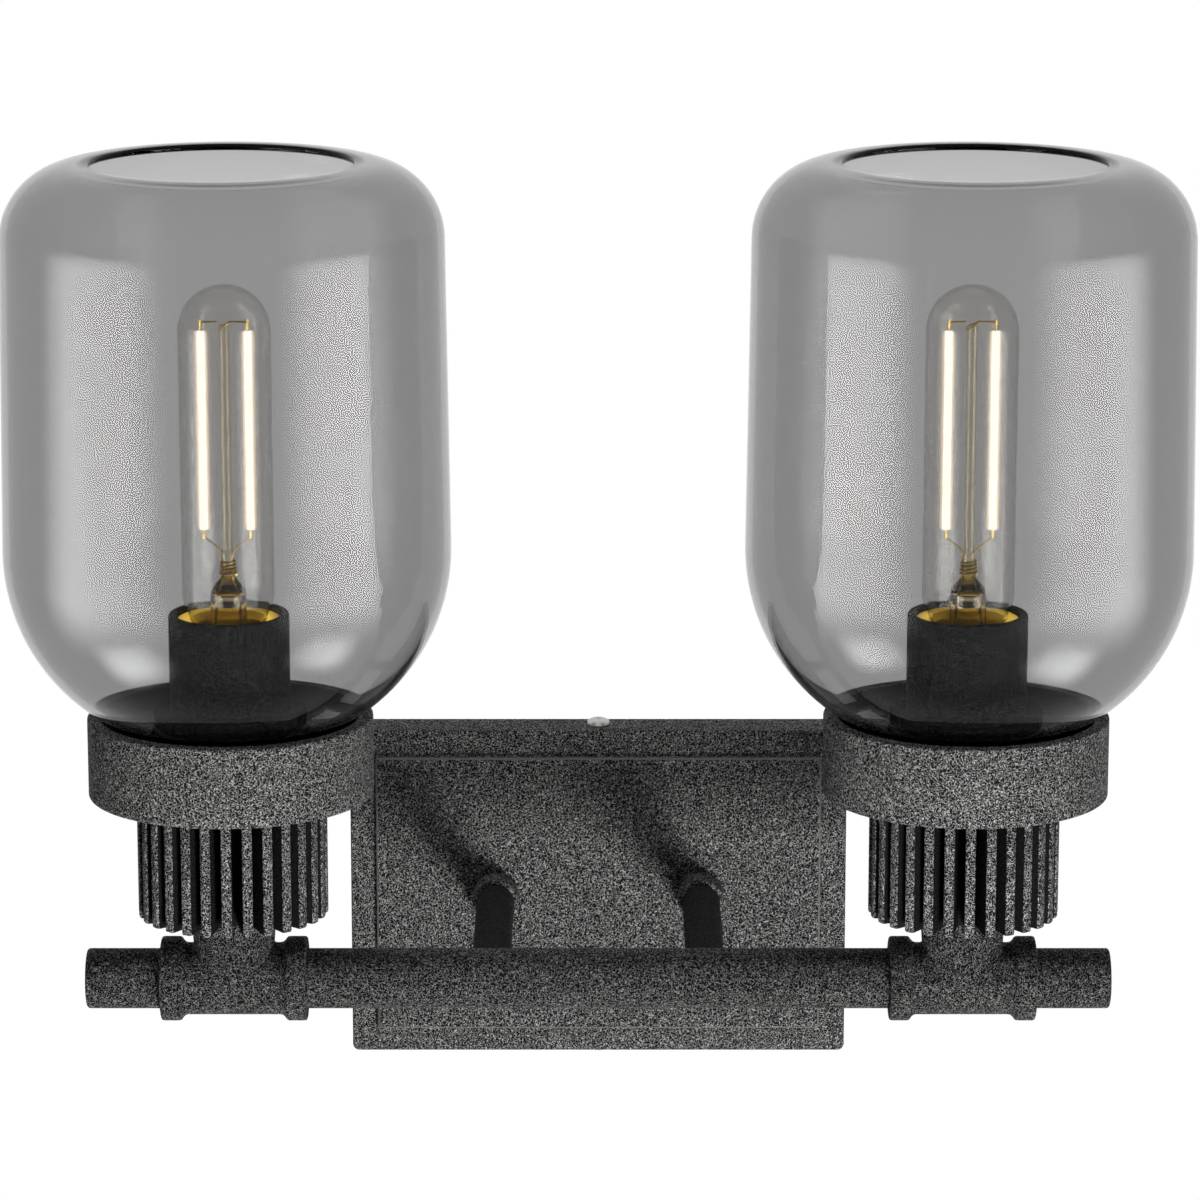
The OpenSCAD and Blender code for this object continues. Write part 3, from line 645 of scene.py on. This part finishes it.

# Cups.
# Turned cups with a straight wall. The floor has a raised seat in the middle that carries the glass. They
# have the plate's coat outside, and inside a duller black that is painted shade under the glass.
CUP_R = 49.3 * MM
CUP_WALL = 4.8 * MM
CUP_FLOOR = 4 * MM
CUP_ROUND = 0.9 * MM
CUP_FIT = 0.1 * MM
SEAT_R = 28.5 * MM
SEAT_T = 4 * MM
cup_inside_painted_shade = powder_coat("cup_inside_painted_shade_coat", dark=(0.006, 0.006, 0.006), pale=(0.012, 0.012, 0.012),
                         grain=1.0 * MM, depth=0.03 * MM, gloss=0.02)
for name, side in SIDES:
    low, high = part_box("cup_" + name)[0].z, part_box("cup_" + name)[1].z
    seat_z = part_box("sleeve_" + name)[0].z
    line = rounded([(SPIGOT_R + CUP_FIT, low), (CUP_R, low), (CUP_R, high), (CUP_R - CUP_WALL, high),
                    (CUP_R - CUP_WALL, low + CUP_FLOOR), (SEAT_R, low + CUP_FLOOR), (SEAT_R, seat_z),
                    (NIPPLE_HOLE_R, seat_z), (NIPPLE_HOLE_R, seat_z - SEAT_T),
                    (SPIGOT_R + CUP_FIT, seat_z - SEAT_T)],
                   [0, CUP_ROUND, CUP_ROUND, 0.7 * MM, 1 * MM, 1 * MM, 0.6 * MM, 0, 0, 0])
    turned = lathe([*line, line[0]], (side * LAMP_X, PIPE_Y, 0), segments=160)
    cup = new_piece("shade_cup_" + name, *turned, coat)
    # Faces inside the cup's wall take the duller black, painted shade.
    cup.data.materials.append(cup_inside_painted_shade)
    for face in cup.data.polygons:
        out = math.hypot(face.center.x - side * LAMP_X, face.center.y - PIPE_Y)
        face.material_index = int(out < CUP_R - CUP_WALL + CUP_FIT
                                  and face.center.z > low + CUP_FLOOR * 0.9)
    seat(cup, "lamp_body", "black_textured_metal", "cup_" + name)


# Lampholders.
# A satin black sleeve stands on the cup's seat. Inside it are a porcelain body, the brass shell that takes
# the bulb's cap and is left without its thread, and a contact spring in the middle.
def smooth_finish(name, colour, roughness, coat_weight=0.0, metallic=0.0, mottle=0.12):
    """A smooth finish with a slight change of gloss over the surface."""
    material, tree, shader = node_shader(name)
    place = tree.nodes.new("ShaderNodeTexCoord").outputs["Object"]
    cloud = add_node(tree, "ShaderNodeTexNoise", Vector=place, Scale=120, Detail=4).outputs["Fac"]
    tint = blend(tree, cloud, tuple(c * (1 - mottle) for c in colour),
                 tuple(min(1, c * (1 + mottle)) for c in colour))
    gloss = add_node(tree, "ShaderNodeMapRange", Value=cloud, From_Min=0.3, From_Max=0.7,
                     To_Min=roughness * 0.85, To_Max=roughness * 1.15)
    set_sockets(tree, shader, Base_Color=tint, Roughness=gloss.outputs["Result"], Metallic=metallic,
                Coat_Weight=coat_weight)
    return material


sleeve_coat = powder_coat("black_leather_coat", dark=(0.008, 0.008, 0.008), pale=(0.06, 0.06, 0.06),
                          grain=1.0 * MM, depth=0.08 * MM, gloss=0.1)
porcelain = smooth_finish("porcelain", (0.82, 0.80, 0.75), 0.22, coat_weight=0.6, mottle=0.03)
brass = smooth_finish("brass", (0.95, 0.70, 0.10), 0.4, metallic=1.0, mottle=0.08)
SLEEVE_R = 20.8 * MM
SLEEVE_WALL = 2.9 * MM
SLEEVE_FLOOR = 2.5 * MM
HOLDER_R = 17.6 * MM
HOLDER_FLOOR = 3.7 * MM
HOLDER_FIT = 0.1 * MM
CONTACT_HOLE_R = 3.5 * MM
SHELL_T = 0.4 * MM
SHELL_SLACK = 0.85 * MM
SHELL_HOLE_R = 6 * MM


def moved(shape, x, y):
    """The same vertices and faces at another place."""
    verts, faces = shape
    return [(a + x, b + y, c) for a, b, c in verts], faces


for name, side in SIDES:
    x = side * LAMP_X
    low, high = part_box("sleeve_" + name)[0].z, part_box("sleeve_" + name)[1].z
    line = rounded([(NIPPLE_HOLE_R, low), (SLEEVE_R, low), (SLEEVE_R, high), (SLEEVE_R - SLEEVE_WALL, high),
                    (SLEEVE_R - SLEEVE_WALL, low + SLEEVE_FLOOR), (NIPPLE_HOLE_R, low + SLEEVE_FLOOR)],
                   [0, 0.4 * MM, 1.1 * MM, 0.9 * MM, 0.4 * MM, 0])
    seat(new_piece("socket_sleeve_" + name, *lathe([*line, line[0]], (x, PIPE_Y, 0)), sleeve_coat),
         "lamp_body", "satin_black_sleeve", "sleeve_" + name)
    low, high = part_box("lampholder_" + name)[0].z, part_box("lampholder_" + name)[1].z
    shell_low, shell_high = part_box("screw_shell_" + name)[0].z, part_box("screw_shell_" + name)[1].z
    shell_r = (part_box("bulb_cap_" + name)[1].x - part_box("bulb_cap_" + name)[0].x) / 2 + SHELL_SLACK
    line = rounded([(NIPPLE_HOLE_R, low), (HOLDER_R, low), (HOLDER_R, high), (shell_r + HOLDER_FIT, high),
                    (shell_r + HOLDER_FIT, shell_low), (CONTACT_HOLE_R, shell_low),
                    (CONTACT_HOLE_R, low + HOLDER_FLOOR), (NIPPLE_HOLE_R, low + HOLDER_FLOOR)],
                   [0, 0.4 * MM, 0.8 * MM, 0.5 * MM, 0, 0, 0, 0])
    seat(new_piece("holder_body_" + name, *lathe([*line, line[0]], (x, PIPE_Y, 0), segments=72), porcelain),
         "lamp_body", "porcelain", "lampholder_" + name)
    line = rounded([(SHELL_HOLE_R, shell_low), (shell_r, shell_low), (shell_r, shell_high - SHELL_T),
                    (HOLDER_R, shell_high - SHELL_T), (HOLDER_R, shell_high), (shell_r - SHELL_T, shell_high),
                    (shell_r - SHELL_T, shell_low + SHELL_T), (SHELL_HOLE_R, shell_low + SHELL_T)],
                   [0, 0, 0, 0.15 * MM, 0.15 * MM, 0, 0, 0])
    seat(new_piece("brass_shell_" + name, *lathe([*line, line[0]], (x, PIPE_Y, 0), segments=72), brass),
         "lamp_body", "brass", "screw_shell_" + name)
    refinish("contact_" + name, brass)


# Glass shades.
# Blown smoked glass, open at the top with a cut and polished mouth. The lower end is rounded, with a flat
# seat and a hole for the sleeve.
def tinted_glass(name, colour, ior, shadow, depth=0.0):
    """Glass that lets the lamps' light through in the shadow colour. depth is its darkening per metre of
    wall."""
    material, tree, shader = node_shader(name)
    set_sockets(tree, shader, Base_Color=colour, Roughness=0.0, IOR=ior, Transmission_Weight=1)
    out = tree.nodes["Material Output"]
    through = add_node(tree, "ShaderNodeBsdfTransparent", Color=shadow)
    shaded = tree.nodes.new("ShaderNodeLightPath").outputs["Is Shadow Ray"]
    choose = add_node(tree, "ShaderNodeMixShader", Fac=shaded)
    tree.links.new(shader.outputs["BSDF"], choose.inputs[1])
    tree.links.new(through.outputs["BSDF"], choose.inputs[2])
    tree.links.new(choose.outputs["Shader"], out.inputs["Surface"])
    if depth:
        smoke = add_node(tree, "ShaderNodeVolumeAbsorption", Color=(0, 0, 0), Density=depth)
        tree.links.new(smoke.outputs["Volume"], out.inputs["Volume"])
    return material


def paint_lip_shade(material, colour):
    """Gives the glass another tint where the mesh attribute lip is 1: painted shade on the cut edge, which
    looks darker than the wall."""
    tree = material.node_tree
    shader = tree.nodes["Principled BSDF"]
    wall_colour = tuple(shader.inputs["Base Color"].default_value)[:3]
    set_sockets(tree, shader, Base_Color=blend(tree, attribute(tree, "lip"), wall_colour, colour))


smoked = tinted_glass("smoked_glass", (0.617, 0.617, 0.619), 1.15, (0.85, 0.85, 0.85), depth=70)
# The near-black tint on the mouth's cut edge is painted shade.
paint_lip_shade(smoked, (0.05, 0.05, 0.05))
SHADE_T = 2.3 * MM
BOWL_R = 68 * MM
SHOULDER_R = 26 * MM
SHADE_DRAFT = 1.5 * MM
MOUTH_R = 44.5 * MM
HOLE_R = 21.5 * MM
SEAT_FLAT_R = 27 * MM
BOWL_STEPS = 28
WALL_STEPS = 12
SHOULDER_STEPS = 16
LIP_STEPS = 8


def shade_profile(low, high, widest):
    """The shade's half section: outer skin from the hole up to the mouth, inner skin down again."""
    line = []
    inset = widest - BOWL_R
    bowl_z = low + math.sqrt(BOWL_R ** 2 - (SEAT_FLAT_R - inset) ** 2)
    shoulder_x, shoulder_z = widest - SHADE_DRAFT, high - SHOULDER_R
    for skin, t in ((0, 0), (1, SHADE_T)):
        part = [(HOLE_R, low + t)]
        start = math.acos((bowl_z - low - t) / (BOWL_R - t))
        for k in range(BOWL_STEPS + 1):
            a = start + (math.pi / 2 - start) * k / BOWL_STEPS
            part.append((inset + (BOWL_R - t) * math.sin(a), bowl_z - (BOWL_R - t) * math.cos(a)))
        for k in range(1, WALL_STEPS):
            u = k / WALL_STEPS
            part.append((widest - t - u * SHADE_DRAFT, bowl_z + u * (shoulder_z - bowl_z)))
        for k in range(SHOULDER_STEPS + 1):
            a = math.pi / 2 * k / SHOULDER_STEPS
            part.append((shoulder_x - SHOULDER_R + (SHOULDER_R - t) * math.cos(a),
                         shoulder_z + (SHOULDER_R - t) * math.sin(a)))
        for k in range(1, LIP_STEPS + 1):
            a = math.pi / 2 * (1 + k / LIP_STEPS if skin == 0 else 3 - k / LIP_STEPS)
            part.append((MOUTH_R + SHADE_T / 2 * (1 + math.cos(a)), high - SHADE_T / 2 * (1 - math.sin(a))))
        line += part if skin == 0 else part[::-1]
    return line


for name, side in SIDES:
    low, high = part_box("shade_" + name)
    line = shade_profile(low.z, high.z, (high.x - low.x) / 2)
    blown = lathe([*line, line[0]], (side * LAMP_X, PIPE_Y, 0), segments=192)
    shade = new_piece("glass_shade_" + name, *blown, smoked, smooth_deg=50)
    lip = shade.data.attributes.new("lip", "FLOAT", "POINT")
    for v, value in zip(shade.data.vertices, lip.data):
        out = math.hypot(v.co.x - side * LAMP_X, v.co.y - PIPE_Y)
        value.value = float(out < MOUTH_R + SHADE_T * 0.7 and v.co.z > high.z - SHADE_T * 1.1)
    seat(shade, name + "_shade", "smoked_glass", "shade_" + name)

# Shade rings and washers.
# A moulded black ring with finger notches is screwed down the sleeve onto the glass, and a silicone washer
# lies under it.
ring_black = powder_coat("moulded_black", dark=(0.006, 0.006, 0.006), pale=(0.010, 0.010, 0.010),
                         grain=2 * MM, depth=0.02 * MM, gloss=0.03)
silicone = smooth_finish("grey_silicone", (0.30, 0.30, 0.29), 0.6, mottle=0.05)
for name, side in SIDES:
    refinish("shade_ring_" + name, ring_black)
    refinish("gasket_" + name, silicone)

# Bulbs.
# Clear tubular glass on a brass screw cap. A hollow glass stem inside carries a wire across its rod, from
# which two upright filaments hang. Slanting lead wires join their lower ends to the stem.
BULB_R = 15.875 * MM
BULB_T = 0.9 * MM
BULB_NECK_R = 12.5 * MM
DOME_STEPS = 20
CAP_T = 0.4 * MM
THREAD_PITCH = 3.63 * MM
THREAD_DEPTH = 1.0 * MM
ROWS_PER_TURN = 12
STEM_FOOT_R = 10.4 * MM
BELL_R = 6.3 * MM
BELL_BORE_R = 5.4 * MM
STEM_R = 2.2 * MM
ROD_R = 1.7 * MM
FILAMENT_R = 1.4 * MM
SHEATH_R = 2.1 * MM
HALO_R = 2.9 * MM
COIL_R = 2.9 * MM
COIL_H = 5 * MM
COIL_STEPS = 48
LOOP_R = 2.1 * MM
LOOP_STEPS = 16
clear = tinted_glass("clear_glass", (0.99, 0.98, 0.96), 1.25, (0.97, 0.97, 0.95), depth=110)
stem_glass = tinted_glass("stem_glass", (0.97, 0.90, 0.70), 1.45, (0.95, 0.95, 0.93))


def glow(name, colour, strength, clearness=0.0):
    """A lit surface that shows what is behind it as far as its clearness."""
    material, tree, shader = node_shader(name)
    set_sockets(tree, shader, Base_Color=(0.01, 0.01, 0.01), Specular_IOR_Level=0.02, Roughness=0.5,
                Emission_Color=colour, Emission_Strength=strength, Alpha=1 - clearness)
    return material


filament_core = glow("filament_core", (1.0, 0.96, 0.88), 3.2)
filament_coat = glow("filament_coat", (1.0, 0.86, 0.64), 1.6, clearness=0.55)
# A faint glowing tube round each filament is a painted halo of its light, not a part of the bulb.
filament_painted_halo = glow("filament_painted_halo", (1.0, 0.74, 0.50), 0.9, clearness=0.85)
wire_metal = plated_steel("lead_wire", (0.30, 0.22, 0.07), 0.3)
FILAMENT_X = 8 * MM
FILAMENT_LEN = 69 * MM
WIRE_R = 0.32 * MM


def wire_run(points, radius, sides=8):
    """A round wire bent along points that lie in or near the XZ plane."""
    verts, faces = [], []
    for i, here in enumerate(points):
        way = (Vector(points[min(i + 1, len(points) - 1)]) - Vector(points[max(i - 1, 0)])).normalized()
        across = way.cross(Vector((0, 1, 0)) if abs(way.y) < 0.9 else Vector((0, 0, 1))).normalized()
        up = across.cross(way)
        for k in range(sides):
            a = 2 * math.pi * k / sides
            verts.append(Vector(here) + radius * (across * math.cos(a) + up * math.sin(a)))
        if i:
            for k in range(sides):
                n = (k + 1) % sides
                faces.append(((i - 1) * sides + k, (i - 1) * sides + n, i * sides + n, i * sides + k))
    faces.append(tuple(range(sides)))
    faces.append(tuple((len(points) - 1) * sides + k for k in range(sides)))
    return verts, faces


def threaded_wall(r_out, wall, low, high, segments=72):
    """A thin wall rolled into a rounded screw thread, as outer and inner skins that share their edges."""
    verts, faces = [], []
    rows = int((high - low) / THREAD_PITCH * ROWS_PER_TURN)
    for skin in (0, 1):
        for i in range(rows + 1):
            z = low + (high - low) * i / rows
            fade = min(1, 6 * i / rows, 6 * (rows - i) / rows)
            for k in range(segments):
                a = 2 * math.pi * k / segments
                wave = math.cos(2 * math.pi * (z - low) / THREAD_PITCH - a + math.pi)
                r = r_out - skin * wall - THREAD_DEPTH * fade * (0.5 - 0.5 * wave)
                verts.append((r * math.cos(a), r * math.sin(a), z))
    per = (rows + 1) * segments
    for skin in (0, 1):
        for i in range(rows):
            for k in range(segments):
                n = (k + 1) % segments
                a, b = skin * per + i * segments, skin * per + (i + 1) * segments
                faces.append((a + k, a + n, b + n, b + k))
    for i in (0, rows):
        for k in range(segments):
            n = (k + 1) % segments
            a, b = i * segments, per + i * segments
            faces.append((a + k, a + n, b + n, b + k))
    return verts, faces


def stem_profile(low, bell_top, stem_top, rod_top):
    """The stem's half section: flange, bell and rod outside, and the bell's hollow inside."""
    outer = rounded([(STEM_FOOT_R, low), (STEM_FOOT_R, low + 0.9 * MM), (BELL_R, low + 3 * MM),
                     (BELL_R, bell_top), (STEM_R, bell_top + 5 * MM), (STEM_R, stem_top),
                     (ROD_R, stem_top + 1 * MM), (ROD_R, rod_top), (0, rod_top)],
                    [0, 0.4 * MM, 3 * MM, 5 * MM, 3 * MM, 0.5 * MM, 0.5 * MM, 1.2 * MM, 0], 8)
    inner = rounded([(0, bell_top + 2.4 * MM), (3 * MM, bell_top + 2.4 * MM),
                     (BELL_BORE_R, bell_top - 0.4 * MM), (BELL_BORE_R, low + 3 * MM), (9 * MM, low)],
                    [0, 2 * MM, 3 * MM, 3 * MM, 0], 8)
    return [(p.x, p.y) for p in outer + inner]


def bulb_profile(neck_z, cap_top, top):
    """The bulb's half section: outer skin up to the tip, inner skin down again."""
    skins = []
    for t in (0, BULB_T):
        flank = rounded([(BULB_NECK_R - t, neck_z), (BULB_NECK_R - t, cap_top + 1 * MM),
                         (BULB_R - t, cap_top + 9 * MM), (BULB_R - t, top - BULB_R)],
                        [0, 5 * MM, 9 * MM, 0], 8)
        angles = [math.pi / 2 * k / DOME_STEPS for k in range(1, DOME_STEPS)]
        dome = [((BULB_R - t) * math.cos(a), top - BULB_R + (BULB_R - t) * math.sin(a)) for a in angles]
        skins.append([(p.x, p.y) for p in flank] + dome + [(0, top - t)])
    return skins[0] + skins[1][::-1] + [skins[0][0]]


for name, side in SIDES:
    x = side * LAMP_X
    body = name + "_bulb"
    glass_low, glass_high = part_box("bulb_glass_" + name)
    cap_low, cap_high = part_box("bulb_cap_" + name)
    line = bulb_profile(glass_low.z, cap_high.z, glass_high.z)
    seat(new_piece("bulb_tube_" + name, *lathe(line, (x, PIPE_Y, 0), segments=96), clear, smooth_deg=60),
         body, "clear_glass", "bulb_glass_" + name)
    cap_r = (cap_high.x - cap_low.x) / 2
    floor_z = cap_low.z + 2 * MM
    wall_low, wall_high = floor_z + 1.5 * MM, cap_high.z - 3 * MM
    tip = [(0, cap_low.z), (cap_r / 3, cap_low.z), (cap_r * 2 / 3, floor_z), (cap_r, wall_low),
           (cap_r - CAP_T, floor_z + 1.6 * MM), (0, floor_z + CAP_T)]
    cap = [threaded_wall(cap_r, CAP_T, wall_low, wall_high),
           lathe(hollow(cap_r, cap_r - CAP_T, wall_high, cap_high.z, 0.2 * MM), segments=72),
           lathe(tip, segments=72)]
    cap = [new_piece("cap_part", *moved(part, x, PIPE_Y), brass) for part in cap]
    seat(join("bulb_cap_shell_" + name, cap), body, "brass", "bulb_cap_" + name)
    stem_low, rod_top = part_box("bulb_stem_" + name)[0].z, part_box("bulb_stem_" + name)[1].z
    bell_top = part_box("sleeve_" + name)[1].z + 8 * MM
    thread_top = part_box("filaments_" + name)[1].z - 1.6 * MM
    thread_low = thread_top - FILAMENT_LEN
    stem_top = thread_low - 8 * MM
    shape = lathe(stem_profile(stem_low, bell_top, stem_top, rod_top), segments=64)
    seat(new_piece("glass_stem_" + name, *moved(shape, x, PIPE_Y), stem_glass, smooth_deg=60), body,
         "stem_glass", "bulb_stem_" + name)
    threads, sheaths, painted_halos, wires = [], [], [], []
    bar_z = thread_top + 3 * MM
    for s in (-1, 1):
        out = s * FILAMENT_X
        for line, r in ((threads, FILAMENT_R), (sheaths, SHEATH_R), (painted_halos, HALO_R)):
            tube = rounded([(0, thread_low), (r, thread_low), (r, thread_top), (0, thread_top)],
                           [0, r * 0.9, r * 0.9, 0], 6)
            line.append(moved(lathe(tube, segments=32), out, 0))
        wires.append(wire_run([(out, 0, thread_top - 1 * MM), (out, 0, bar_z), (out, 0, bar_z + 0.9 * MM)],
                              WIRE_R * 1.6))
        wires.append(wire_run([(out, 0, bar_z), (s * 2.4 * MM, 0, bar_z + 0.2 * MM)], WIRE_R))
        wires.append(wire_run([(out, 0, thread_low + 1 * MM), (out, 0, thread_low - 3 * MM)], WIRE_R * 1.8))
        wires.append(wire_run([(out, 0, thread_low - 2.4 * MM), (s * 3 * MM, 0, stem_top + 1.6 * MM),
                               (s * 1.4 * MM, 0, stem_top - 1 * MM), (s * 1.2 * MM, 0, bell_top + 5 * MM),
                               (s * 1.9 * MM, 0, bell_top - 4 * MM), (s * 3.6 * MM, 0, stem_low + 1 * MM)],
                              WIRE_R))
    loop, coil = [], []
    for k in range(LOOP_STEPS):
        a = 2 * math.pi * k / LOOP_STEPS
        loop.append((LOOP_R * math.cos(a), LOOP_R * math.sin(a), bar_z - 1.2 * MM + 1.4 * MM * math.cos(a)))
    wires.append(wire_run([*loop, loop[0]], WIRE_R))
    for k in range(COIL_STEPS + 1):
        a, r = k * math.pi / 6, COIL_R - 0.5 * MM * k / COIL_STEPS
        coil.append((r * math.cos(a), r * math.sin(a), bell_top + 5.4 * MM + COIL_H * k / COIL_STEPS))
    wires.append(wire_run(coil, WIRE_R * 1.3))
    layers = ((threads, filament_core), (sheaths, filament_coat), (painted_halos, filament_painted_halo), (wires, wire_metal))
    pieces = [new_piece("layer", *moved(merge(*shapes), x, PIPE_Y), finish) for shapes, finish in layers]
    counts = [len(piece.data.polygons) for piece in pieces]
    whole = join("filaments_and_wires_" + name, pieces)
    for shapes, finish in layers[1:]:
        whole.data.materials.append(finish)
    start = 0
    for layer, count in enumerate(counts):
        for face in whole.data.polygons[start:start + count]:
            face.material_index = layer
        start += count
    whole.data.shade_smooth()
    seat(whole, body, "filament", "filaments_" + name)

# Studio.
# A plain pale floor and soft lamps. One low on the right in front throws the arms' shadows on the plate,
# two beside it shape the cups and the pipe, and weak ones stand above and on the left. Large lamps at the
# sides show only in reflections in the shades, and a small warm one in each bulb lights its brass shell.
FLOOR_Z = -2.2
FLOOR_HALF = 30
floor_mesh = bpy.data.meshes.new("floor")
corners = [(x * FLOOR_HALF, y * FLOOR_HALF, FLOOR_Z) for x, y in ((-1, -1), (1, -1), (1, 1), (-1, 1))]
floor_mesh.from_pydata(corners, [], [(0, 1, 2, 3)])
floor = bpy.data.objects.new("floor", floor_mesh)
bpy.context.scene.collection.objects.link(floor)


def white_to_camera(tree, lit, white_kind):
    """Shows white to the camera, to gloss and through glass, and the lit surface to every other ray."""
    path = tree.nodes.new("ShaderNodeLightPath").outputs
    direct = reckon(tree, "MAXIMUM", path["Is Camera Ray"], path["Is Transmission Ray"])
    white = add_node(tree, white_kind, Color=(1, 1, 1), Strength=1.0)
    mix = add_node(tree, "ShaderNodeMixShader", Fac=reckon(tree, "MAXIMUM", direct, path["Is Glossy Ray"]))
    tree.links.new(lit, mix.inputs[1])
    tree.links.new(white.outputs[0], mix.inputs[2])
    return mix.outputs[0]


floor_paint, tree, shader = node_shader("pale_floor")
set_sockets(tree, shader, Base_Color=(0.85, 0.85, 0.85), Roughness=0.9)
tree.links.new(white_to_camera(tree, shader.outputs["BSDF"], "ShaderNodeEmission"),
               tree.nodes["Material Output"].inputs["Surface"])
floor_mesh.materials.append(floor_paint)

world = bpy.data.worlds.new("studio")
bpy.context.scene.world = world
world.use_nodes = True
tree = world.node_tree
ambient = set_sockets(tree, tree.nodes["Background"], Color=(1, 1, 1), Strength=0.2)
tree.links.new(white_to_camera(tree, ambient.outputs[0], "ShaderNodeBackground"),
               tree.nodes["World Output"].inputs["Surface"])


def soft_lamp(name, group, power, place, target, width, height, fade=False):
    """An area lamp that points at target and lights the group's pieces. With fade its light falls off
    towards its edges and it shows only in reflections, never straight through glass."""
    light = bpy.data.lights.new(name, "AREA")
    light.shape = "RECTANGLE"
    light.size, light.size_y = width, height
    light.energy = power
    if fade:
        light.use_nodes = True
        tree = light.node_tree
        place_on_lamp = tree.nodes.new("ShaderNodeNewGeometry").outputs["Parametric"]
        split = add_node(tree, "ShaderNodeSeparateXYZ", Vector=place_on_lamp)
        humps = []
        for axis in "XY":
            fold = reckon(tree, "PINGPONG", split.outputs[axis], 0.5)
            hump = add_node(tree, "ShaderNodeMapRange", Value=fold, From_Max=0.5)
            hump.interpolation_type = "SMOOTHERSTEP"
            humps.append(hump.outputs["Result"])
        depth = tree.nodes.new("ShaderNodeLightPath").outputs["Glossy Depth"]
        mirrored = reckon(tree, "GREATER_THAN", depth, 0.5)
        shine = reckon(tree, "MULTIPLY", reckon(tree, "MULTIPLY", *humps), mirrored)
        set_sockets(tree, tree.nodes["Emission"], Strength=shine)
    lamp = bpy.data.objects.new(name, light)
    lamp.location = place
    lamp.rotation_euler = (Vector(target) - Vector(place)).to_track_quat("-Z", "Y").to_euler()
    lamp.visible_camera = False
    bpy.context.scene.collection.objects.link(lamp)
    lamp.light_linking.receiver_collection = group


def receivers(name, names, leave_out=False):
    """A group of the pieces that a lamp lights, or of those that it leaves dark."""
    group = bpy.data.collections.new(name)
    for piece in names:
        group.objects.link(bpy.data.objects[piece])
    if leave_out:
        for member in group.collection_objects:
            member.light_linking.link_state = "EXCLUDE"
    return group


flat_pieces = ["back_plate", "edge_screws", "arm_tube_left", "arm_tube_right", "ferrule_left",
               "ferrule_right"]
pipe_pieces = ["pipe_between_tees", "pipe_end_left", "pipe_end_right", "cast_tee_left", "cast_tee_right"]
shade_pieces = ["glass_shade_left", "glass_shade_right"]
glass_pieces = [*shade_pieces, "bulb_tube_left", "bulb_tube_right"]
plate_light = receivers("plate_light", flat_pieces)
pipe_light = receivers("pipe_light", pipe_pieces)
cup_light = receivers("cup_light", flat_pieces + pipe_pieces + glass_pieces, leave_out=True)
metal_light = receivers("metal_light", glass_pieces + ["edge_screws"], leave_out=True)
glass_light = receivers("glass_light", shade_pieces)
bulb_light = receivers("bulb_light", ["brass_shell_left", "brass_shell_right"])
soft_lamp("key", plate_light, 33, (0.52, -1.25, -0.58), (0, -0.03, 0.0), 0.42, 0.42)
soft_lamp("cup_front", cup_light, 35, (0.32, -1.25, -0.5), (0, -0.12, 0.0), 0.3, 0.3)
soft_lamp("pipe_front", pipe_light, 18, (0.35, -1.2, -0.75), (0, -0.12, 0.0), 0.3, 0.3)
soft_lamp("top", metal_light, 8, (0.1, -0.06, 1.6), (0, -0.06, 0.0), 0.7, 0.7)
soft_lamp("left", metal_light, 1, (-1.3, -0.6, 0.1), (0, -0.1, 0.0), 0.6, 0.6)
for name, side in SIDES:
    soft_lamp("glass_" + name, glass_light, 1800, (side * 2.64, -1.35, -0.5), (0, -0.12, 1.6), 5.2, 3.6,
              fade=True)
    soft_lamp("glass_low_" + name, glass_light, 220, (side * 1.4, -0.75, -1.5), (0, -0.12, 0.2), 1.8, 1.2,
              fade=True)
    glow_lamp = bpy.data.objects.new("bulb_glow_" + name, bpy.data.lights.new("bulb_glow_" + name, "POINT"))
    glow_lamp.data.energy = 0.5
    glow_lamp.data.color = (1.0, 0.86, 0.5)
    glow_lamp.data.shadow_soft_size = 4 * MM
    glow_lamp.location = (side * LAMP_X, PIPE_Y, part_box("sleeve_" + name)[1].z + 25 * MM)
    bpy.context.scene.collection.objects.link(glow_lamp)
    glow_lamp.light_linking.receiver_collection = bulb_light
    glow_lamp.visible_camera = glow_lamp.visible_transmission = False

bpy.context.scene.view_settings.view_transform = "Standard"
